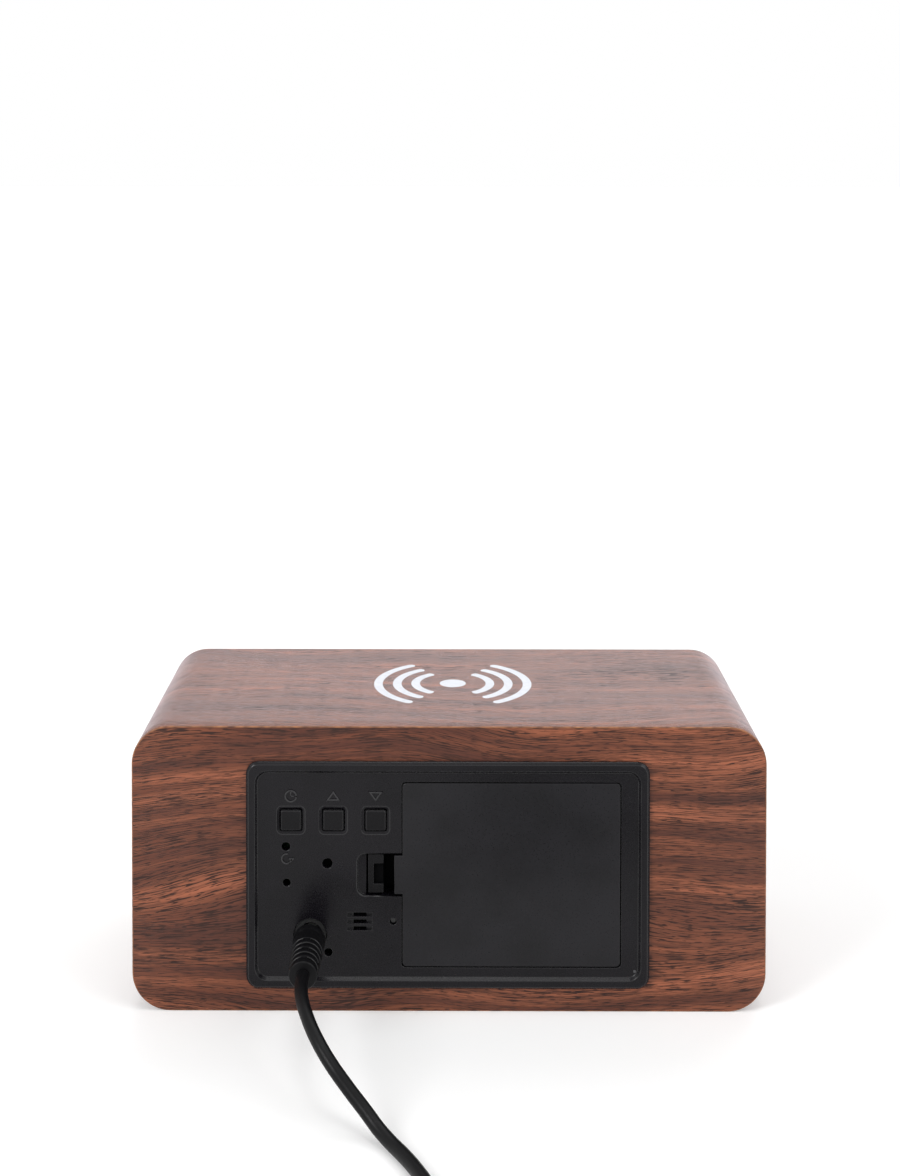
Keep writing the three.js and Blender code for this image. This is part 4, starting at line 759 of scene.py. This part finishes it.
grip = bmesh.new()
ring = [grip.verts.new(mm(radius, y, 0)) for radius, y in grip_profile]
for a, b in zip(ring, ring[1:]):
    grip.edges.new((a, b))
bmesh.ops.spin(grip, geom=grip.verts[:] + grip.edges[:], cent=(0, 0, 0), axis=(0, 1, 0), angle=2 * math.pi,
               steps=GRIP_STEPS, use_merge=True)
tidy_normals(grip)
sunk = [face for face in grip.faces if in_groove(face)]
pushed = bmesh.ops.extrude_face_region(grip, geom=sunk, use_keep_orig=False)
for vert in made_verts(pushed):
    reach = math.hypot(vert.co.x, vert.co.z)
    vert.co.x *= mm(GROOVE_FLOOR) / reach
    vert.co.z *= mm(GROOVE_FLOOR) / reach
# The extrusion leaves the faces that it started from, which would close the grooves
bmesh.ops.delete(grip, geom=sunk, context="FACES")
tidy_normals(grip)
# The lips of the grooves are rounded and rubbed shiny by fingers
lips = [e for e in sharp_edges(grip, 40) if e.is_convex
        and all(mm(GROOVE_START - 0.5) < v.co.y < mm(GRIP_END - 1) for v in e.verts)]
for face in bevelled(grip, lips, LIP_ROUND, 2, False):
    face.material_index = 1
print("grip lips", len(lips))
bmesh.ops.translate(grip, verts=grip.verts, vec=PLUG_AXIS)
grip_piece = finish_piece("plug_grip_ribbed", grip, [cord_vinyl, rubbed_vinyl], "power_lead",
                          smooth_angle=35)
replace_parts(grip_piece, "plug_grip")

# %% [markdown]
# ## The cord's other pieces
# The tie and the far plug keep the imported shapes with softer edges. Then the cord rides on the lead's body
# and takes the place of the imported cord and coil.

# %% Cord pieces
TIE_ROUND, FAR_GRIP_ROUND = 0.1, 0.4
tie = softened("coil_tie", [cord_vinyl], "power_lead", TIE_ROUND)
far_grip = softened("usb_grip", [cord_vinyl], "power_lead", FAR_GRIP_ROUND, sharp=20)
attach(cord, "power_lead")
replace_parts(cord, "lead_cord", "lead_coil")

# %% [markdown]
# ## Printed charging mark
# A pad-printed white mark shows where a phone goes: a dot with three arcs on each side. Print is about 0.03
# mm thick. Each arc is a short edge spun about the mark's centre, with its ends rounded by a bevel, then
# given that thickness.

# %% Charging mark
# Pad printed ink lies matt and a little uneven, never pure white
print_white = speckled("pad_printed_white_ink", 1.2, [(0.3, "#d3d6de"), (0.7, "#dee1e8")], 0.55)

MARK_CENTRE = mm(-1.0, -1.9, 68.0)
MARK_RADII = (9.5, 14.2, 19.0)
MARK_STROKE = 2.2
MARK_HALF_ANGLE = 58
DOT_RADIUS = 3.33
INK_THICKNESS = 0.03
# A bevel of nearly half the stroke turns a square end round, and just less keeps its two corners apart
TIP_SHARE = 0.49


def flat_arc(radius, stroke, start, end, steps=28):
    """A flat band with round ends in the XY plane, angles in degrees, sizes in metres."""
    band = bmesh.new()
    begin = math.radians(start)
    reaches = (radius - stroke / 2, radius + stroke / 2)
    first = [band.verts.new((r * math.cos(begin), r * math.sin(begin), 0)) for r in reaches]
    band.edges.new(first)
    spun = bmesh.ops.spin(band, geom=band.verts[:] + band.edges[:], cent=(0, 0, 0), axis=(0, 0, 1),
                          angle=math.radians(end - start), steps=steps)
    last = [g for g in spun["geom_last"] if isinstance(g, bmesh.types.BMVert)]
    bmesh.ops.dissolve_faces(band, faces=band.faces[:])
    tips = [v for v in band.verts if v in first + last]
    bmesh.ops.bevel(band, geom=tips, offset=stroke * TIP_SHARE, offset_type="OFFSET", affect="VERTICES",
                    segments=8, profile=0.5, material=-1, clamp_overlap=False)
    return band


def raise_flat(shape, height):
    """Give a flat shape in the XY plane a thickness upwards."""
    made = bmesh.ops.extrude_face_region(shape, geom=shape.faces[:], use_keep_orig=True)
    bmesh.ops.translate(shape, verts=made_verts(made), vec=(0, 0, height))
    bmesh.ops.recalc_face_normals(shape, faces=shape.faces)


# %% Print the mark
marks = []
for index, radius in enumerate(MARK_RADII):
    for side, middle in (("right", 0), ("left", 180)):
        arc = flat_arc(mm(radius), mm(MARK_STROKE), middle - MARK_HALF_ANGLE, middle + MARK_HALF_ANGLE)
        raise_flat(arc, mm(INK_THICKNESS))
        bmesh.ops.translate(arc, verts=arc.verts, vec=MARK_CENTRE)
        marks.append(finish_piece(f"charging_arc_{side}_{index + 1}", arc, [print_white], "clock"))
dot = bmesh.new()
bmesh.ops.create_circle(dot, cap_ends=True, radius=mm(DOT_RADIUS), segments=48)
raise_flat(dot, mm(INK_THICKNESS))
bmesh.ops.translate(dot, verts=dot.verts, vec=MARK_CENTRE)
marks.append(finish_piece("charging_dot", dot, [print_white], "clock"))
print("printed pieces", len(marks))

# %% [markdown]
# ## Moulded pictograms
# The panel names its buttons by marks moulded 0.3 mm proud of the field. Generic signs are used: a clock
# face for setting, arrows for up and down, and a turning arrow at the reset hole. Each is drawn flat, given
# its height, and stood up on the field; the turn keeps it the right way round for someone who looks at the
# panel.

# %% Drawing pictograms
STAND_UP = Matrix(((-1, 0, 0), (0, 0, 1), (0, 1, 0))).to_4x4()
RELIEF, SINK = 0.3, 0.02
SIGN_STROKE = 0.42
SIGN_ROUND = 0.09


def flat_polygon(shape, corners):
    """Add a flat face in the XY plane with corners in millimetres."""
    return shape.faces.new([shape.verts.new(mm(x, y, 0)) for x, y in corners])


def flat_bar(shape, x0, y0, x1, y1, stroke):
    """Add a straight flat bar from one point to another, in millimetres."""
    along = Vector((x1 - x0, y1 - y0)).normalized() * stroke / 2
    side = Vector((-along.y, along.x))
    a, b = Vector((x0, y0)) - along, Vector((x1, y1)) + along
    flat_polygon(shape, [a + side, a - side, b - side, b + side])


def emboss(name, shape, x, z):
    """Thicken flat forms and stand them on the panel's field at x, z in millimetres."""
    raise_flat(shape, mm(RELIEF))
    upper = [e for e in sharp_edges(shape, 45) if min(v.co.z for v in e.verts) > mm(RELIEF / 2)]
    bevelled(shape, upper, SIGN_ROUND, 2, True)
    place = Matrix.Translation((mm(x), FIELD_FACE - mm(SINK), mm(z)))
    bmesh.ops.transform(shape, matrix=place @ STAND_UP, verts=shape.verts)
    tidy_normals(shape)
    return finish_piece(name, shape, [sign_abs], "clock")


# %% The signs
SIGN_ROW_Z = 51.6
SET_X, UP_X, DOWN_X = 37.3, 27.3, 17.3
RESET_X, RESET_Z = 38.3, 36.7
DIAL_RADIUS, TURN_RADIUS = 1.3, 1.15

# The dial's ring is left open by 8 degrees, because a single flat face can't have a hole
dial = flat_arc(mm(DIAL_RADIUS), mm(SIGN_STROKE), 4, 356, steps=40)
emboss("sign_set_ring", dial, SET_X, SIGN_ROW_Z)
for part, (x1, y1) in {"hour": (0.62, 0.0), "minute": (0.0, 0.85)}.items():
    hand = bmesh.new()
    flat_bar(hand, 0, 0, x1, y1, SIGN_STROKE * 0.8)
    emboss("sign_set_" + part, hand, SET_X, SIGN_ROW_Z)
for part, x, way in (("up", UP_X, 1), ("down", DOWN_X, -1)):
    arrow = bmesh.new()
    # The corners run the other way round for the arrow that points down, so that both faces look forward
    flat_polygon(arrow, [(-1.7, -1.1 * way), (1.7, -1.1 * way), (0, 1.3 * way)][::way])
    # A new face has no normal until it is asked for, and without one the inset has no direction
    arrow.normal_update()
    bmesh.ops.inset_region(arrow, faces=arrow.faces[:], thickness=mm(SIGN_STROKE), use_even_offset=True,
                           use_boundary=True)
    bmesh.ops.delete(arrow, geom=[min(arrow.faces, key=lambda f: len(f.verts))], context="FACES_ONLY")
    bmesh.ops.recalc_face_normals(arrow, faces=arrow.faces)
    emboss("sign_" + part, arrow, x, SIGN_ROW_Z)
turn = flat_arc(mm(TURN_RADIUS), mm(SIGN_STROKE), 70, 360, steps=32)
emboss("sign_reset_turn", turn, RESET_X, RESET_Z)
head = bmesh.new()
flat_polygon(head, [(0.35, 0.05), (1.95, 0.05), (1.15, -0.95)][::-1])
emboss("sign_reset_head", head, RESET_X, RESET_Z + 0.1)

# %% Dot with a painted highlight on the rim
# A small raised dot on the rim, low on the door's side, in a paler and glossier black whose pale colour
# paints a highlight
RIM_DOT_X, RIM_DOT_Z = -43.9, 9.9
RIM_DOT_RADIUS, RIM_DOT_HEIGHT, RIM_DOT_SINK = 0.34, 0.05, 0.01

rim_dot = bmesh.new()
bmesh.ops.create_circle(rim_dot, cap_ends=True, radius=mm(RIM_DOT_RADIUS), segments=16)
raise_flat(rim_dot, mm(RIM_DOT_HEIGHT))
place = Matrix.Translation((mm(RIM_DOT_X), FIELD_FACE - mm(RIM_DOT_SINK), mm(RIM_DOT_Z)))
bmesh.ops.transform(rim_dot, matrix=place @ STAND_UP, verts=rim_dot.verts)
# Much paler than the panel's black, so the dot's colour paints a highlight
rim_highlight_abs = moulded_plastic("polished_black_abs", "#303033", 0.18, relief=0.0, specular=0.8)
finish_piece("gate_mark", rim_dot, [rim_highlight_abs], "clock")

# %% [markdown]
# ## The lit display
# The digits shine through the front foil from the reflector's wells. They show as soft white bars with the
# foil's grain over them. Each bar is a thin lens in the foil's face, with the same places and sizes as the
# packed wells.

# %% Lit foil
# Light comes through the foil's grain, 6 mm long and 0.35 mm wide, a little warmer where it is dark
GRAIN_LENGTH, GRAIN_WIDTH = 6, 0.35

lit_foil, tree, shader = new_material("lit_walnut_foil")
place = add_node(tree, "ShaderNodeTexCoord").outputs["Object"]
mapped = add_node(tree, "ShaderNodeMapping", Vector=place,
                  Scale=(1 / mm(GRAIN_LENGTH), 1, 1 / mm(GRAIN_WIDTH)))
grain = add_node(tree, "ShaderNodeTexNoise", Vector=mapped.outputs["Vector"], Scale=1.0, Detail=2.0)
glow = ramp_between(tree, grain.outputs["Fac"], [(0.3, "#ffe9d2"), (0.6, "#fff8f0")])
tree.links.new(glow, shader.inputs["Base Color"])
tree.links.new(glow, shader.inputs["Emission Color"])
shader.inputs["Emission Strength"].default_value = 0.9
shader.inputs["Roughness"].default_value = 0.5

# %% Lit bars
DIGIT_WIDTH, DIGIT_HEIGHT, BAR_STROKE, BAR_GAP = 14.0, 26.0, 2.6, 0.9
DIGIT_CENTRES = (-32.5, -11.5, 11.5, 32.5)
DISPLAY_Z = 34
COLON_RADIUS, COLON_HALF = 1.5, 4.5
LENS_DEPTH = 0.04
# Each bar's middle, in half widths and half heights of a digit
BARS = {"top": (0, 1), "middle": (0, 0), "bottom": (0, -1), "upper_left": (-1, 0.5), "upper_right": (1, 0.5),
        "lower_left": (-1, -0.5), "lower_right": (1, -0.5)}
LIT = {0: "top bottom upper_left upper_right lower_left lower_right",
       1: "upper_right lower_right",
       8: "top middle bottom upper_left upper_right lower_left lower_right"}
half_x, half_z = (DIGIT_WIDTH - BAR_STROKE) / 2, (DIGIT_HEIGHT - BAR_STROKE) / 2
lens_back = FILM_FACE + LENS_DEPTH / 2

lit = bmesh.new()
for centre, digit in zip(DIGIT_CENTRES, (1, 0, 0, 8)):
    for bar in LIT[digit].split():
        x, z = BARS[bar]
        upright = bar.startswith(("upper", "lower"))
        tip = ((half_z if upright else 2 * half_x) - BAR_GAP) / 2
        half = BAR_STROKE / 2
        shoulder = tip - half
        outline = [(-tip, 0), (-shoulder, -half), (shoulder, -half), (tip, 0), (shoulder, half),
                   (-shoulder, half)]
        if upright:
            outline = [(-v, u) for u, v in outline]
        middle_x, middle_z = centre + x * half_x, DISPLAY_Z + z * half_z
        corners = [mm(middle_x + u, lens_back, middle_z + v) for u, v in outline]
        lit.faces.new([lit.verts.new(corner) for corner in corners])
for z in (DISPLAY_Z - COLON_HALF, DISPLAY_Z + COLON_HALF):
    place = Matrix.Translation(mm(0, lens_back, z)) @ Matrix.Rotation(math.radians(90), 4, "X")
    bmesh.ops.create_circle(lit, cap_ends=True, radius=mm(COLON_RADIUS), segments=24, matrix=place)
made = bmesh.ops.extrude_face_region(lit, geom=lit.faces[:], use_keep_orig=True)
bmesh.ops.translate(lit, verts=made_verts(made), vec=mm(0, -LENS_DEPTH, 0))
bmesh.ops.recalc_face_normals(lit, faces=lit.faces)
finish_piece("lit_digits", lit, [lit_foil], "clock")

# %% [markdown]
# ## Metals, boards and other inner parts
# The inner parts are seen through the battery door and in the parts' own pictures. Each gets the finish of
# the real thing: bright nickel on contacts, grey zinc on screws, green solder mask on boards, wound copper
# on the coil.


# %% Metals
def plated_metal(name, code, roughness):
    """Plated metal whose gloss varies a little, as a thin haze on it does."""
    material, tree, shader = new_material(name)
    place = add_node(tree, "ShaderNodeTexCoord").outputs["Object"]
    haze = add_node(tree, "ShaderNodeTexNoise", Vector=place, Scale=1 / mm(2.5), Detail=1.0).outputs["Fac"]
    shader.inputs["Base Color"].default_value = hex_colour(code)
    shader.inputs["Metallic"].default_value = 1.0
    matt = add_node(tree, "ShaderNodeMapRange", Value=haze, From_Min=0.3, From_Max=0.7,
                    To_Min=roughness - 0.03, To_Max=roughness + 0.04)
    tree.links.new(matt.outputs["Result"], shader.inputs["Roughness"])
    return material


nickel = plated_metal("nickel_plate", "#c3c4c2", 0.28)
zinc = plated_metal("zinc_plated_steel", "#a6a9ac", 0.4)

# Enamelled wire wound flat: the rings paint a highlight on each turn and a line of shade to the next. At a
# scale of 1 the ring texture goes through 20 radians in one unit of length
WINDING_PITCH = 0.888

copper, tree, shader = new_material("enamelled_copper_winding")
place = add_node(tree, "ShaderNodeTexCoord").outputs["Object"]
centred = add_node(tree, "ShaderNodeMapping", Vector=place, Location=(-MARK_CENTRE.x, -MARK_CENTRE.y, 0))
turns = add_node(tree, "ShaderNodeTexWave", {"wave_type": "RINGS", "rings_direction": "Z"},
                 Vector=centred.outputs["Vector"], Scale=2 * math.pi / 20 / mm(WINDING_PITCH), Distortion=0.0)
tree.links.new(ramp_between(tree, turns.outputs["Fac"], [(0.1, "#6e3a1c"), (0.6, "#c07a46")]),
               shader.inputs["Base Color"])
shader.inputs["Metallic"].default_value = 0.8
shader.inputs["Roughness"].default_value = 0.38

# %% Felt, ferrite and boards
# Felt over the microphone swallows light, and sintered ferrite is a dark grey ceramic with a dull grain
felt = speckled("black_felt", 0.3, [(0.3, "#020202"), (0.7, "#070707")], 1.0, specular=0.1)
ferrite = speckled("sintered_ferrite", 0.5, [(0.35, "#2b2b2d"), (0.65, "#454548")], 0.75, detail=4.0)

# The copper tracks under a board's green mask show as paler lines, here the borders of cells 3 mm wide
laminate, tree, shader = new_material("green_circuit_laminate")
place = add_node(tree, "ShaderNodeTexCoord").outputs["Object"]
tracks = add_node(tree, "ShaderNodeTexVoronoi", {"feature": "DISTANCE_TO_EDGE"},
                  Vector=place, Scale=1 / mm(3))
tree.links.new(ramp_between(tree, tracks.outputs["Distance"], [(0.03, "#2f7a48"), (0.08, "#1d5634")]),
               shader.inputs["Base Color"])
shader.inputs["Roughness"].default_value = 0.4

# %% Finish the inner parts
# The longest of these words in a node's name decides its finish, but a screw is always zinc plated
finishes = {
    "board": laminate, "spring": nickel, "contact": nickel, "switch": dull_abs, "plunger": cap_abs,
    "reset_plunger": white_abs, "jack": dull_abs, "buzzer": dull_abs, "sensor": sensor_epoxy,
    "microphone": felt, "reflector": white_abs, "charging_coil": copper, "ferrite": ferrite,
    "coil_tray": white_abs, "ribbon": grey_vinyl, "cable": grey_vinyl, "barrel": nickel, "shell": nickel,
    "tongue": white_abs,
}
shown = [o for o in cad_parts.values() if not o.hide_render]
for node in shown:
    if "screw" in node.name:
        finish = zinc
    else:
        finish = finishes[max((k for k in finishes if k in node.name), key=len)]
    for slot in node.material_slots:
        slot.material = finish
print("inner parts finished", len(shown))
